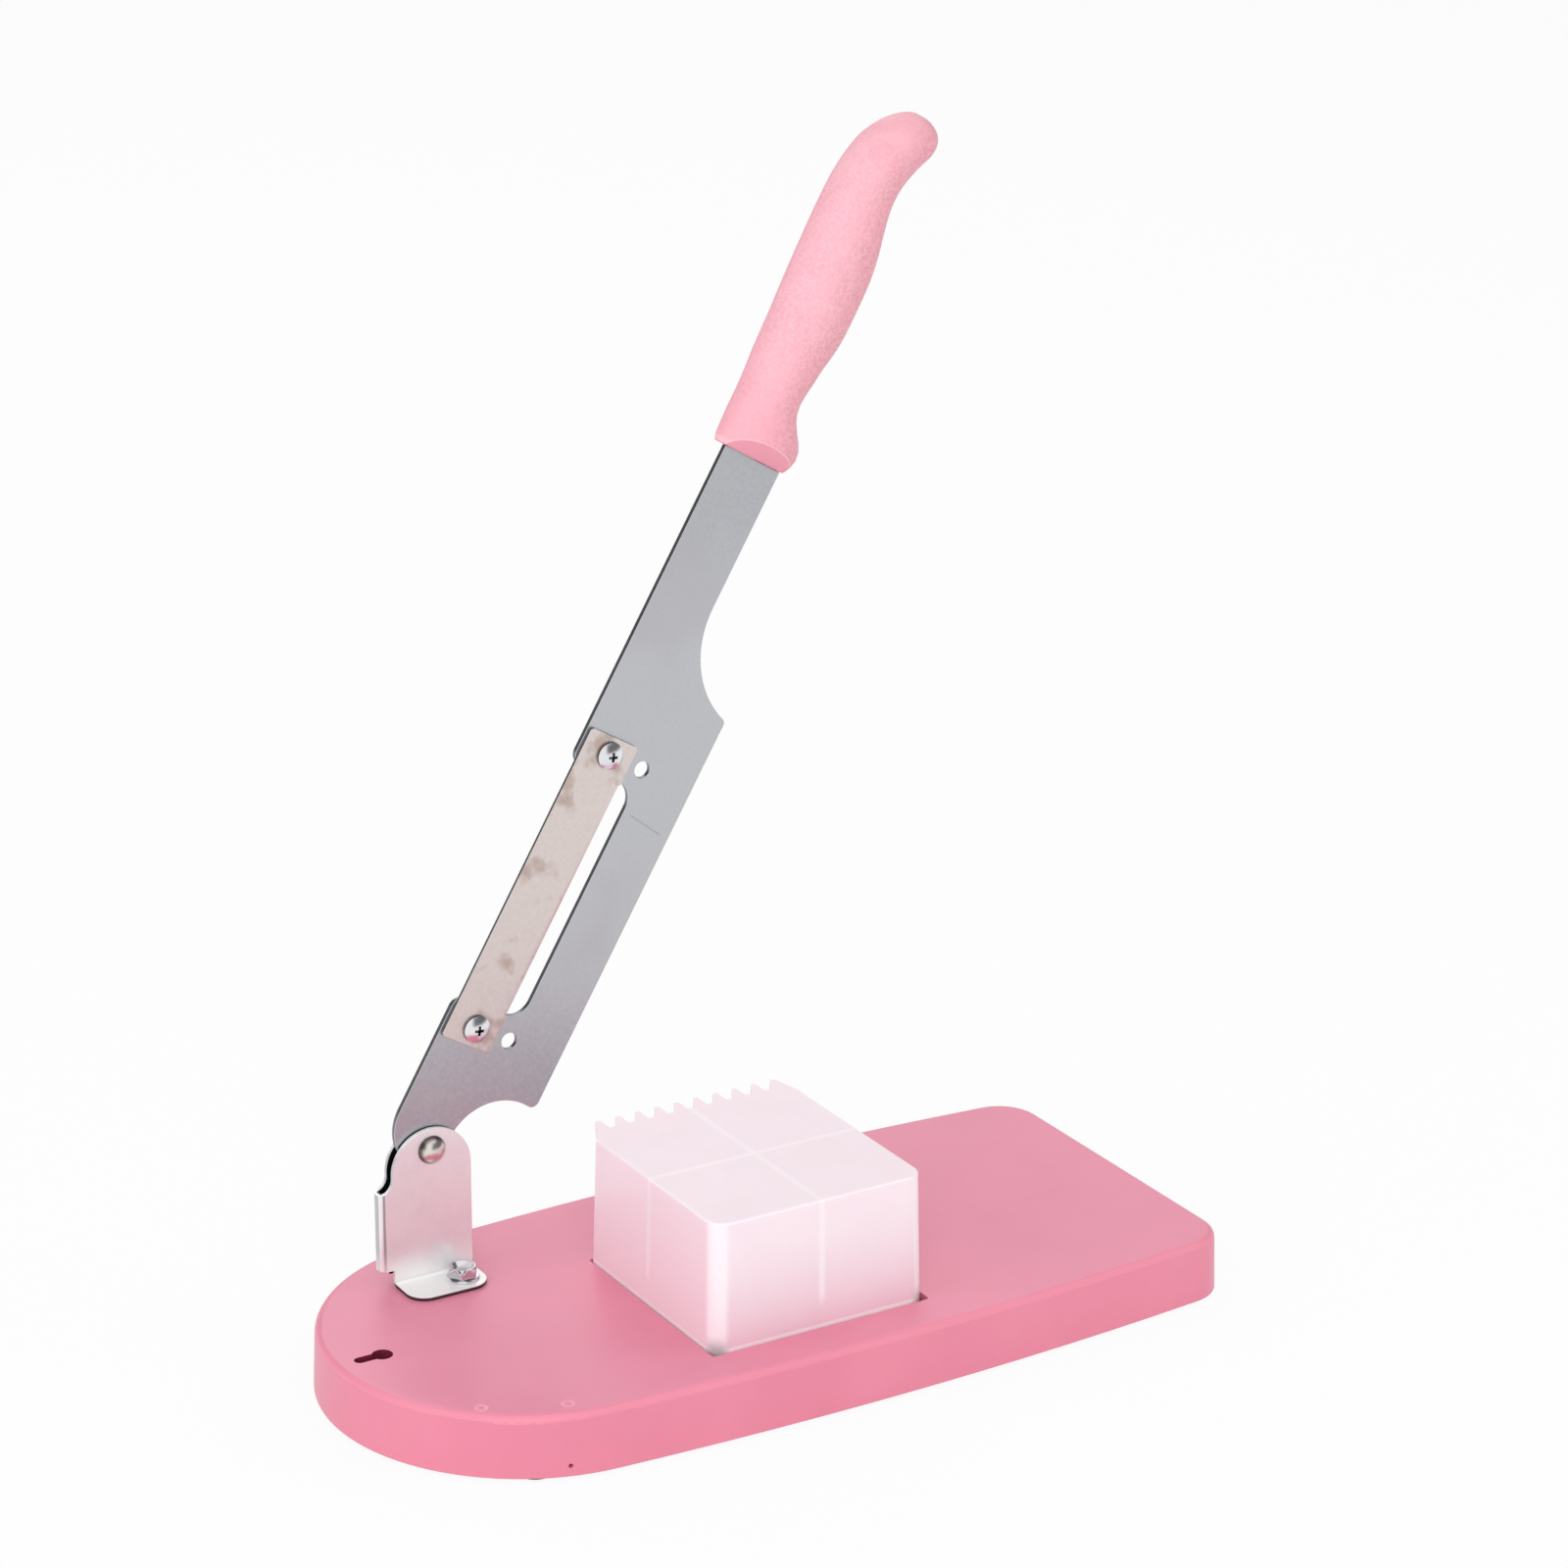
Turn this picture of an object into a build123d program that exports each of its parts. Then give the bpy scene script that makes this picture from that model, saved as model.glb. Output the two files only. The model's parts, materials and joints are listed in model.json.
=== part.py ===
"""Manual meat slicer: a hinged blade arm over a plastic board, with a loose food pusher.

Millimetres. The board's long axis is X, with the round end towards -X. The user stands on
the -Y side. Z is up, and z = 0 is the table under the four rubber feet. The origin is the
middle of the board's outline. The arm is drawn in its own plane first, with u along the arm
from the pivot and v towards its spine, and is then turned up to its rest angle.
"""
from build123d import *
from math import asin, atan2, cos, degrees, hypot, radians, sin, sqrt, tan
import os

# Board
board_length = 310.0
board_width = 148.0           # at its widest point
board_thickness = 21.8
board_end_tightness = 3.5     # the round left end's radius is this much less than half the width
board_widest_x = 11.6         # both long sides bow out gently and are widest here
board_corner_radius = 16.5    # the two right-hand corners
board_draft = 2.3             # degrees, the walls lean in towards the top
board_top_round = 3.0
board_bottom_round = 0.5

# Rubber feet, pressed into pockets in the underside
foot_diameter = 14.0
foot_height = 3.6
foot_stand_off = 1.2          # how far a foot shows under the board
foot_edge_inset = 8.5         # the left feet, from the board's edge to a foot's centre
foot_pocket_clearance = 0.15
foot_angle = 64.0             # degrees, the left feet, from the round end's own axis
foot_right_inset_x = 24.0     # the right feet, from the right end
foot_right_inset_y = 22.0     # the right feet, from the widest line

# Hanging slot near the round end
keyhole_diameter = 7.0
keyhole_slot_width = 4.0
keyhole_inset = 17.5          # from the round end to the middle of the large hole
keyhole_slot_reach = 8.0      # from the large hole to the middle of the slot's round end

# Small marks left by moulding on the board
ring_mark_diameter = 4.6
ring_mark_core = 2.4
ring_mark_depth = 0.3
ring_mark_places = ((28.0, -48.5), (53.0, -60.0))  # x from the round end, and y
side_hole_diameter = 1.6
side_hole_depth = 3.0
side_hole_height = 3.8        # above the board's underside
side_hole_angle = 73.0        # degrees, round the left end from its own axis

# Food pusher, stored in a shallow pocket in the board
pusher_width = 80.4           # along X, at the top
pusher_depth = 80.0           # along Y, at the top and without the teeth
pusher_height = 49.2
pusher_x = -4.4
pusher_y = -14.3
pusher_wall = 2.2
pusher_draft = 1.2            # degrees, the walls lean out towards the open bottom
pusher_front_radius = 6.5     # the two upright corners in front
pusher_rear_radius = 2.0      # the two upright corners behind
pusher_edge_round = 0.8
pusher_rib = 1.6
pusher_rib_drop = 34.0        # how far the cross ribs reach down from the top
pusher_rib_shift_y = 2.6      # the rib along X lies this far behind the middle
pocket_depth = 4.0
pocket_clearance = 0.5
pocket_corner_radius = 1.2
tooth_count = 10
tooth_length = 6.6
tooth_flank = 3.4             # the slanted side of a tooth, along X
tooth_tip = 1.8
tooth_ledge = 5.2             # the ledge that carries the teeth, behind the rear wall
tooth_thickness = 3.0
tooth_left_margin = 3.7       # from the pusher's left wall to the first tooth's foot
tooth_right_margin = 2.7      # from the last tooth to the pusher's right wall
tooth_end_inset = 1.5         # the row's two slanted ends meet the side walls this far from behind

# Hinge bracket, one folded sheet
sheet = 1.6
pivot_inset = 57.5            # from the board's round end
pivot_height = 47.2           # above the board
bracket_y = 44.3              # the arm's plane
ear_width = 29.2
ear_gap = 3.0
ear_arch_drop = 7.1           # the arch's centre lies this far under the pivot
web_reach = 5.0               # the folded back stands this far out past the ears
web_bottom = 6.2              # above the board
web_top = 34.1                # above the board
web_flat = 0.2                # what the web's two bends leave flat between them
foot_bend_radius = 1.4        # inside of the bend between an ear and its foot
foot_flange = 15.2            # from an ear's outer face to the foot's edge
foot_flange_corner = 7.0
rear_flange_inset = 9.0       # the rear foot starts this much further from the web

# Foot bolts, washers and nuts
bolt_diameter = 5.0
bolt_hole_clearance = 0.25
bolt_head_across = 8.0
bolt_head_height = 3.6
bolt_head_washer = 11.4
bolt_head_washer_height = 0.9
bolt_head_dish = 5.2
bolt_head_dish_depth = 0.9
bolt_head_crown = 0.6         # the hexagon's corners are turned away this much at the top
bolt_x = 7.0                  # from the pivot, along X
bolt_y = 7.2                  # from an ear's outer face
bolt_end_past_nut = 1.0
foot_nut_across = 8.0
foot_nut_height = 4.0
foot_washer_diameter = 12.0
foot_washer_height = 1.0
nut_pocket_diameter = 15.0
nut_pocket_depth = 8.0
thread_clearance = 0.05

# Pivot rivet and its washers
rivet_diameter = 5.0
rivet_head_diameter = 9.9
rivet_head_height = 3.8
pivot_clearance = 0.05
pivot_washer_diameter = 12.0
pivot_washer_height = 0.45

# Blade arm, in its own u, v plane
arm_rest_angle = 59.4         # degrees above the board, as it stands in the photograph
arm_sheet = 2.0
spine_v = 16.6
tail_u = 8.0                  # centre of the round tail, whose radius is spine_v
edge_v = -32.2                # the cutting edge
scallop_u = 4.8
scallop_v = -26.1
scallop_radius = 20.0
heel_round = 2.5
toe_curve_u = 202.0
toe_curve_v = -41.0
toe_curve_radius = 33.5
toe_round = 1.5
neck_u = 252.0                # where the steel enters the handle
edge_bevel_width = 4.0
edge_land = 0.3
tang_length = 76.0
tang_width = 11.0
tang_v = 9.5
tang_end_round = 4.0

# Window in the arm, open to the spine
window_lower_inset = 7.8      # from the lower screw to the window's lower end
window_upper_inset = 6.8      # from the window's upper end to the upper screw
window_v = -11.1
window_corner = 7.0
window_mouth_round = 4.0

# Peeler blade and its screws
screw_first_u = 42.9
screw_spacing = 100.7
screw_v = 4.6
spare_hole_v = -10.4
screw_hole_diameter = 5.8
peeler_end_margin = 6.2       # from a screw to the strip's end
peeler_width = 20.3
peeler_sheet = 1.2
peeler_shift_v = 1.1          # the strip's middle lies this far above its screws
peeler_corner = 1.5
peeler_bevel_width = 2.4
peeler_bevel_end = 14.0       # the ground edge stops this far from each end
peeler_land = 0.25
screw_diameter = 5.0
screw_head_diameter = 9.5
screw_head_height = 3.2
screw_cross_length = 5.0
screw_cross_width = 1.2
screw_cross_depth = 1.7
screw_cross_turn = 24.0       # degrees, how the cross happens to stand
screw_end_past_nut = 0.8
arm_nut_across = 8.0
arm_nut_height = 4.0

# Handle: u along the arm, lowest and highest v, and half thickness of each section
handle_sections = (
    (0.0, -7.6, 19.4, 8.2),
    (3.5, -9.6, 20.2, 9.0),
    (9.0, -9.2, 20.3, 9.4),
    (13.5, -5.7, 20.2, 9.5),
    (19.0, -1.9, 20.0, 9.6),
    (26.0, -1.4, 20.3, 9.8),
    (39.0, -3.7, 21.3, 10.1),
    (56.0, -5.2, 22.4, 10.3),
    (72.0, -4.4, 23.2, 10.3),
    (83.0, -1.7, 23.5, 10.3),
    (90.0, 0.6, 23.5, 10.2),
    (98.0, 1.6, 23.1, 10.0),
    (106.0, -0.6, 21.9, 9.8),
    (111.0, -3.8, 20.0, 9.4),
    (117.0, -6.0, 16.7, 8.3),
    (121.6, -5.2, 12.2, 6.0),
    (123.9, -1.4, 8.8, 3.4),
    (124.9, 1.8, 5.9, 1.2),
)
handle_facet_start = 3.6      # half thickness left at the handle's end by the two facets
handle_facet_angle = 42.0     # degrees between a facet and the arm
handle_facet_block = 60.0     # the cutting block, larger than the handle is wide
tang_clearance = 0.05

# Cutting shapes
cut_past = 1.0                # how far they run past the faces they cut

# Derived places
board_bottom = foot_stand_off
board_top = board_bottom + board_thickness
board_left = -board_length / 2
half_width = board_width / 2
board_end_radius = half_width - board_end_tightness
end_centre_x = board_left + board_end_radius
pivot_x = board_left + pivot_inset
side_radius = ((board_widest_x - end_centre_x) ** 2 + half_width ** 2 - board_end_radius ** 2) / (
    2 * (half_width - board_end_radius))
side_centre_y = half_width - side_radius
pivot_z = board_top + pivot_height
ear_outer = ear_gap / 2 + sheet
web_bend_radius = ear_outer - web_flat / 2
flange_top = board_top + sheet
bolt_offset_y = ear_outer + bolt_y
pusher_top = board_top - pocket_depth + pusher_height
pusher_flare = pusher_height * tan(radians(pusher_draft))
pusher_base_width = pusher_width + 2 * pusher_flare
pusher_base_depth = pusher_depth + 2 * pusher_flare
tooth_foot = tooth_flank + tooth_tip
tooth_pitch = (pusher_width - tooth_left_margin - tooth_right_margin - tooth_foot) / (tooth_count - 1)
window_start = screw_first_u + window_lower_inset
window_end = screw_first_u + screw_spacing - window_upper_inset
peeler_length = screw_spacing + 2 * peeler_end_margin
peeler_v = screw_v + peeler_shift_v
arm_place = Location((pivot_x, bracket_y, pivot_z)) * Rot(0, -arm_rest_angle, 0)


def disc(diameter, height, x, y, z):
    """A plain round disc standing on z."""
    return Pos(x, y, z) * extrude(Circle(diameter / 2), height)


def cross_disc(diameter, length, u, v, y):
    """A round disc whose axis is the arm's pivot direction, in the arm's own plane."""
    return Pos(u, y, v) * Rot(-90, 0, 0) * extrude(Circle(diameter / 2), length)


def hexagon(across, height):
    return extrude(RegularPolygon(across / 2, 6, major_radius=False), height)


def side_face(curves):
    """A face in the XZ plane from curves drawn with x and z as their two numbers."""
    return Plane.XZ * make_face(curves)


def board_outline():
    """Round left end, two gently bowed sides and a square right end with round corners."""
    toward = atan2(-side_centre_y, end_centre_x - board_widest_x)
    join_x = end_centre_x + board_end_radius * cos(toward)
    join_y = board_end_radius * sin(toward)
    right = board_length / 2
    right_y = side_centre_y + sqrt(side_radius ** 2 - (right - board_widest_x) ** 2)
    outline = make_face([
        ThreePointArc((join_x, join_y), (board_left, 0), (join_x, -join_y)),
        ThreePointArc((join_x, -join_y), (board_widest_x, -half_width), (right, -right_y)),
        Line((right, -right_y), (right, right_y)),
        ThreePointArc((right, right_y), (board_widest_x, half_width), (join_x, join_y)),
    ])
    return fillet(outline.vertices().sort_by(Axis.X)[-2:], board_corner_radius)


def foot_places():
    reach = board_end_radius - foot_edge_inset
    left_x = end_centre_x - reach * cos(radians(foot_angle))
    left_y = reach * sin(radians(foot_angle))
    right_x = board_length / 2 - foot_right_inset_x
    right_y = half_width - foot_right_inset_y
    return {
        "front_left_foot": (left_x, -left_y),
        "rear_left_foot": (left_x, left_y),
        "front_right_foot": (right_x, -right_y),
        "rear_right_foot": (right_x, right_y),
    }


def bolt_places():
    x = pivot_x + bolt_x
    return {"front": (x, bracket_y - bolt_offset_y), "rear": (x, bracket_y + bolt_offset_y)}


def keyhole():
    """The large hole and its slot, cut right through the board."""
    hole_x = board_left + keyhole_inset
    slot_end_x = hole_x - keyhole_slot_reach
    middle_x = (hole_x + slot_end_x) / 2
    shape = Pos(hole_x, 0) * Circle(keyhole_diameter / 2)
    shape += Pos(middle_x, 0) * Rectangle(keyhole_slot_reach, keyhole_slot_width)
    shape += Pos(slot_end_x, 0) * Circle(keyhole_slot_width / 2)
    return Pos(0, 0, board_bottom - cut_past) * extrude(shape, board_thickness + 2 * cut_past)


def base_board():
    board = Pos(0, 0, board_bottom) * extrude(board_outline(), board_thickness, taper=board_draft)
    board = fillet(board.faces().sort_by(Axis.Z)[-1].edges(), board_top_round)
    board = fillet(board.faces().sort_by(Axis.Z)[0].edges(), board_bottom_round)
    board -= keyhole()
    pocket = RectangleRounded(pusher_base_width + 2 * pocket_clearance,
                              pusher_base_depth + 2 * pocket_clearance, pocket_corner_radius)
    pocket_cut = extrude(pocket, pocket_depth + cut_past)
    board -= Pos(pusher_x, pusher_y, board_top - pocket_depth) * pocket_cut
    for x, y in foot_places().values():
        board -= disc(foot_diameter + 2 * foot_pocket_clearance, foot_height - foot_stand_off,
                      x, y, board_bottom)
    for x, y in bolt_places().values():
        board -= disc(bolt_diameter + 2 * bolt_hole_clearance, board_thickness, x, y, board_bottom)
        board -= disc(nut_pocket_diameter, nut_pocket_depth, x, y, board_bottom)
    ring = Circle(ring_mark_diameter / 2) - Circle(ring_mark_core / 2)
    for inset, y in ring_mark_places:
        board -= Pos(board_left + inset, y, board_top - ring_mark_depth) * extrude(ring, 1)
    hole = Pos(0, 0, board_end_radius - side_hole_depth) * extrude(Circle(side_hole_diameter / 2), 5)
    turn = Pos(end_centre_x, 0, board_bottom + side_hole_height) * Rot(0, 0, 180 + side_hole_angle)
    return board - turn * Rot(0, 90, 0) * hole


def rubber_foot(x, y):
    foot = disc(foot_diameter, foot_height, x, y, 0)
    return chamfer(foot.faces().sort_by(Axis.Z)[0].edges(), foot_stand_off / 3)


def side_profile():
    """The bracket seen from the front: round-topped ears, and the web with its scooped top."""
    left = pivot_x - ear_width / 2
    right = pivot_x + ear_width / 2
    web_left = left - web_reach
    arch_z = pivot_z - ear_arch_drop
    scoop_z = board_top + web_top
    scoop_middle = web_reach * (1 - sin(radians(45)))
    return side_face([
        Line((right, board_top), (right, arch_z)),
        ThreePointArc((right, arch_z), (pivot_x, arch_z + ear_width / 2), (left, arch_z)),
        Line((left, arch_z), (left, scoop_z + web_reach)),
        ThreePointArc((left, scoop_z + web_reach), (left - scoop_middle, scoop_z + scoop_middle),
                      (web_left, scoop_z)),
        Line((web_left, scoop_z), (web_left, board_top + web_bottom)),
        Line((web_left, board_top + web_bottom), (left, board_top + web_bottom)),
        Line((left, board_top + web_bottom), (left, board_top)),
        Line((left, board_top), (right, board_top)),
    ])


def channel_section():
    """The folded sheet seen from above: two ears joined by the web, open towards +X."""
    left = pivot_x - ear_width / 2 - web_reach
    long = ear_width + web_reach + 2 * web_bend_radius
    middle_x = left + long / 2
    outer = Pos(middle_x, bracket_y) * RectangleRounded(long, 2 * ear_outer, web_bend_radius)
    inner = Pos(middle_x + sheet, bracket_y) * RectangleRounded(
        long, ear_gap, web_bend_radius - sheet)
    return outer - inner


def bracket_foot(side, left):
    """One ear's foot, bent outwards and lying on the board. side is -1 in front and 1 behind."""
    bend = foot_bend_radius
    inner = ear_gap / 2
    edge = ear_outer + foot_flange
    quarter = sin(radians(45))
    bend_y = ear_outer + bend
    bend_z = flange_top + bend
    big = bend + sheet
    section = make_face([
        Line((inner, bend_z), (ear_outer, bend_z)),
        ThreePointArc((ear_outer, bend_z), (bend_y - bend * quarter, bend_z - bend * quarter),
                      (bend_y, flange_top)),
        Line((bend_y, flange_top), (edge, flange_top)),
        Line((edge, flange_top), (edge, board_top)),
        Line((edge, board_top), (bend_y, board_top)),
        ThreePointArc((bend_y, board_top), (bend_y - big * quarter, bend_z - big * quarter),
                      (inner, bend_z)),
    ])
    width = pivot_x + ear_width / 2 - left
    foot = Pos(left, 0, 0) * (Plane.YZ * extrude(section, width))
    corners = foot.edges().filter_by(Axis.Z).sort_by(Axis.Y)[-2:]
    foot = fillet(corners, foot_flange_corner)
    if side < 0:
        foot = mirror(foot, Plane.XZ)
    return Pos(0, bracket_y, 0) * foot


def hinge_bracket():
    left = pivot_x - ear_width / 2
    ears_bottom = flange_top + foot_bend_radius
    height = pivot_z + ear_width - ears_bottom
    channel = Pos(0, 0, ears_bottom) * extrude(channel_section(), height)
    bracket = channel & Pos(0, bracket_y, 0) * extrude(side_profile(), ear_outer * 2, both=True)
    bracket += bracket_foot(-1, left)
    bracket += bracket_foot(1, left + rear_flange_inset)
    bracket -= Pos(pivot_x, 0, pivot_z) * cross_disc(
        rivet_diameter + 2 * pivot_clearance, board_width, 0, 0, 0)
    for x, y in bolt_places().values():
        bracket -= disc(bolt_diameter + 2 * bolt_hole_clearance, 2 * sheet, x, y, board_top - sheet / 2)
    return bracket


def foot_bolt(x, y):
    """Hexagon bolt with a formed washer face and a dished top, through foot and board."""
    head_bottom = flange_top
    nut_bottom = board_bottom + nut_pocket_depth - foot_washer_height - foot_nut_height
    length = head_bottom - nut_bottom + bolt_end_past_nut
    bolt = disc(bolt_diameter, length, x, y, head_bottom - length)
    washer_face = disc(bolt_head_washer, bolt_head_washer_height, x, y, head_bottom)
    top = head_bottom + bolt_head_washer_height
    hex_head = Pos(x, y, top) * hexagon(bolt_head_across, bolt_head_height)
    crown_top = bolt_head_across / 2 - bolt_head_crown / 2
    crown_bottom = crown_top + bolt_head_height
    crown = Pos(x, y, top) * Cone(crown_bottom, crown_top, bolt_head_height,
                                  align=(Align.CENTER, Align.CENTER, Align.MIN))
    dish = disc(bolt_head_dish, bolt_head_dish_depth, x, y,
                top + bolt_head_height - bolt_head_dish_depth)
    return bolt + washer_face + (hex_head & crown) - dish


def foot_washer(x, y):
    z = board_bottom + nut_pocket_depth - foot_washer_height
    washer = disc(foot_washer_diameter, foot_washer_height, x, y, z)
    return washer - disc(bolt_diameter + 2 * bolt_hole_clearance, foot_washer_height, x, y, z)


def foot_nut(x, y):
    z = board_bottom + nut_pocket_depth - foot_washer_height - foot_nut_height
    nut = Pos(x, y, z) * hexagon(foot_nut_across, foot_nut_height)
    return nut - disc(bolt_diameter + 2 * thread_clearance, foot_nut_height, x, y, z)


def dome(diameter, height):
    """A domed rivet head standing on the XY plane."""
    radius = (diameter ** 2 / 4 + height ** 2) / (2 * height)
    ball = Pos(0, 0, height - radius) * Sphere(radius)
    keep = extrude(Circle(diameter), 2 * height)
    return ball & keep


def pivot_rivet():
    """Shank through both ears and the arm, with a dome in front and one behind."""
    shank = cross_disc(rivet_diameter, 2 * ear_outer, 0, 0, -ear_outer)
    head = dome(rivet_head_diameter, rivet_head_height)
    front = Pos(0, -ear_outer, 0) * Rot(90, 0, 0) * head
    rear = Pos(0, ear_outer, 0) * Rot(-90, 0, 0) * head
    return Pos(pivot_x, bracket_y, pivot_z) * (shank + front + rear)


def pivot_washer(side):
    """A spacer lying against the inside of one ear."""
    start = -ear_gap / 2 if side < 0 else ear_gap / 2 - pivot_washer_height
    washer = cross_disc(pivot_washer_diameter, pivot_washer_height, 0, 0, start)
    washer -= cross_disc(rivet_diameter + 2 * pivot_clearance, pivot_washer_height, 0, 0, start)
    return Pos(pivot_x, bracket_y, pivot_z) * washer


def arm_outline():
    """The steel from its round tail to the neck, with the scallop, edge and toe curve."""
    drop = edge_v - scallop_v
    heel_u = scallop_u + sqrt(scallop_radius ** 2 - drop ** 2)
    toe_u = toe_curve_u - sqrt(toe_curve_radius ** 2 - (edge_v - toe_curve_v) ** 2)
    neck_v = toe_curve_v + toe_curve_radius
    gap = hypot(scallop_u - tail_u, scallop_v)
    along = (spine_v ** 2 - scallop_radius ** 2 + gap ** 2) / (2 * gap)
    across = sqrt(spine_v ** 2 - along ** 2)
    unit_u = (scallop_u - tail_u) / gap
    unit_v = scallop_v / gap
    cut_u = tail_u + along * unit_u + across * unit_v
    cut_v = along * unit_v - across * unit_u
    toe_turn = radians(135)
    outline = make_face([
        ThreePointArc((tail_u, spine_v), (tail_u - spine_v, 0), (cut_u, cut_v)),
        ThreePointArc((cut_u, cut_v), (scallop_u, scallop_v + scallop_radius), (heel_u, edge_v)),
        Line((heel_u, edge_v), (toe_u, edge_v)),
        ThreePointArc((toe_u, edge_v),
                      (toe_curve_u + toe_curve_radius * cos(toe_turn),
                       toe_curve_v + toe_curve_radius * sin(toe_turn)),
                      (toe_curve_u, neck_v)),
        Line((toe_curve_u, neck_v), (neck_u, neck_v)),
        Line((neck_u, neck_v), (neck_u, spine_v)),
        Line((neck_u, spine_v), (tail_u, spine_v)),
    ])
    edge_corners = outline.vertices().filter_by(lambda point: abs(point.Y - edge_v) < 0.01)
    outline = fillet(edge_corners.sort_by(Axis.X)[0], heel_round)
    edge_corners = outline.vertices().filter_by(lambda point: abs(point.Y - edge_v) < 0.01)
    return fillet(edge_corners.sort_by(Axis.X)[-1], toe_round)


def arm_window():
    """The cut-out behind the peeler blade, open at the spine."""
    length = window_end - window_start
    depth = spine_v - window_v
    window = Pos((window_start + window_end) / 2, window_v + depth) * RectangleRounded(
        length, 2 * depth, window_corner)
    return window


def screw_places(v):
    return ((screw_first_u, v), (screw_first_u + screw_spacing, v))


def blade_arm():
    flat = arm_outline() - arm_window()
    mouth = flat.vertices().filter_by(
        lambda point: abs(point.Y - spine_v) < 0.01 and window_start - 1 < point.X < window_end + 1)
    flat = fillet(mouth, window_mouth_round)
    tang = Pos(neck_u + tang_length / 2, tang_v) * Rectangle(tang_length, tang_width)
    tang = fillet(tang.vertices().sort_by(Axis.X)[-2:], tang_end_round)
    flat += tang
    for u, v in (*screw_places(screw_v), *screw_places(spare_hole_v)):
        flat -= Pos(u, v) * Circle(screw_hole_diameter / 2)
    flat -= Circle(rivet_diameter / 2 + pivot_clearance)
    plate = extrude(Plane.XZ * flat, arm_sheet / 2, both=True)
    ground = make_face(Polyline(
        (edge_v - 1, -arm_sheet / 2 + edge_land),
        (edge_v, -arm_sheet / 2 + edge_land),
        (edge_v + edge_bevel_width, arm_sheet / 2),
        (edge_v + edge_bevel_width, arm_sheet),
        (edge_v - 1, arm_sheet),
        close=True))
    bevel_plane = Plane(origin=(0, 0, 0), x_dir=(0, 0, 1), z_dir=(-1, 0, 0))
    bevel = extrude(bevel_plane * ground, -(toe_curve_u - toe_curve_radius + heel_round * 4))
    return arm_place * (plate - bevel)


def peeler_front():
    return -arm_sheet / 2 - peeler_sheet


def peeler_blade():
    """A loose strip screwed over the window, ground along the side that faces the window."""
    middle_u = screw_first_u + screw_spacing / 2
    strip = Pos(middle_u, peeler_v) * RectangleRounded(peeler_length, peeler_width, peeler_corner)
    for u, v in screw_places(screw_v):
        strip -= Pos(u, v) * Circle(screw_hole_diameter / 2)
    blade = Pos(0, -arm_sheet / 2, 0) * extrude(Plane.XZ * strip, peeler_sheet)
    low_v = peeler_v - peeler_width / 2
    front = peeler_front()
    back = -arm_sheet / 2
    ground = make_face(Polyline(
        (low_v - 1, back - peeler_land),
        (low_v, back - peeler_land),
        (low_v + peeler_bevel_width, front),
        (low_v + peeler_bevel_width, front - 1),
        (low_v - 1, front - 1),
        close=True))
    length = peeler_length - 2 * peeler_bevel_end
    start = middle_u - length / 2
    bevel_plane = Plane(origin=(start, 0, 0), x_dir=(0, 0, 1), z_dir=(-1, 0, 0))
    return arm_place * (blade - extrude(bevel_plane * ground, -length))


def peeler_screw(u):
    """Pan head machine screw with a cross recess, from the front."""
    front = peeler_front()
    length = peeler_sheet + arm_sheet + arm_nut_height + screw_end_past_nut
    shank = cross_disc(screw_diameter, length, 0, 0, 0)
    head = Rot(90, 0, 0) * dome(screw_head_diameter, screw_head_height)
    slot = Box(screw_cross_length, 2 * screw_cross_depth, screw_cross_width)
    cross = Pos(0, -screw_head_height, 0) * (slot + Rot(0, 90, 0) * slot)
    screw = shank + head - Rot(0, screw_cross_turn, 0) * cross
    return arm_place * Pos(u, front, screw_v) * screw


def peeler_nut(u):
    nut = hexagon(arm_nut_across, arm_nut_height)
    nut -= extrude(Circle(screw_diameter / 2 + thread_clearance), arm_nut_height)
    return arm_place * Pos(u, arm_sheet / 2, screw_v) * Rot(-90, 0, 0) * nut


def handle():
    """Moulded grip: oval sections along the arm, a waist, a swelling and a hooked pommel."""
    rings = []
    for along, low, high, half_thick in handle_sections:
        plane = Plane(origin=(neck_u + along, 0, (low + high) / 2), x_dir=(0, 0, 1), z_dir=(1, 0, 0))
        rings.append(plane * Ellipse((high - low) / 2, half_thick))
    grip = loft(rings)
    slot_length = tang_length + tang_clearance
    slot = Pos(neck_u + slot_length / 2, 0, tang_v) * Box(
        slot_length, arm_sheet + 2 * tang_clearance, tang_width + 2 * tang_clearance)
    grip -= slot
    lean = radians(handle_facet_angle)
    size = handle_facet_block
    for side in (-1, 1):
        block = Box(size, size, size)
        normal_y = side * cos(lean)
        normal_u = -sin(lean)
        block = Rot(0, 0, degrees(atan2(normal_y, normal_u))) * block
        centre = Vector(neck_u + normal_u * size / 2, side * handle_facet_start + normal_y * size / 2)
        grip -= Pos(centre.X, centre.Y, 0) * block
    return arm_place * grip


def tooth_row():
    """The saw-toothed ledge along the rear top edge, seen from above, with two slanted ends."""
    points = []
    for index in range(tooth_count):
        foot = tooth_left_margin + index * tooth_pitch
        points += [(foot, 0), (foot + tooth_flank, tooth_length),
                   (foot + tooth_foot, tooth_length), (foot + tooth_foot, 0)]
    points.pop()
    rear = pusher_depth / 2 + tooth_ledge
    row = [(x - pusher_width / 2, y + rear) for x, y in points]
    side = pusher_width / 2 - pusher_wall / 2
    root = pusher_depth / 2 - pusher_wall
    end = pusher_depth / 2 - tooth_end_inset
    outline = [(-side, root), (-pusher_width / 2, end), *row, (pusher_width / 2, end), (side, root)]
    return make_face(Polyline(*outline, close=True))


def upright_edges(solid):
    """The solid's four upright edges, which its draft tilts a little, from front to back."""
    return solid.edges().filter_by(lambda edge: abs(edge.tangent_at(0.5).Z) > 0.9).sort_by(Axis.Y)


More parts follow.
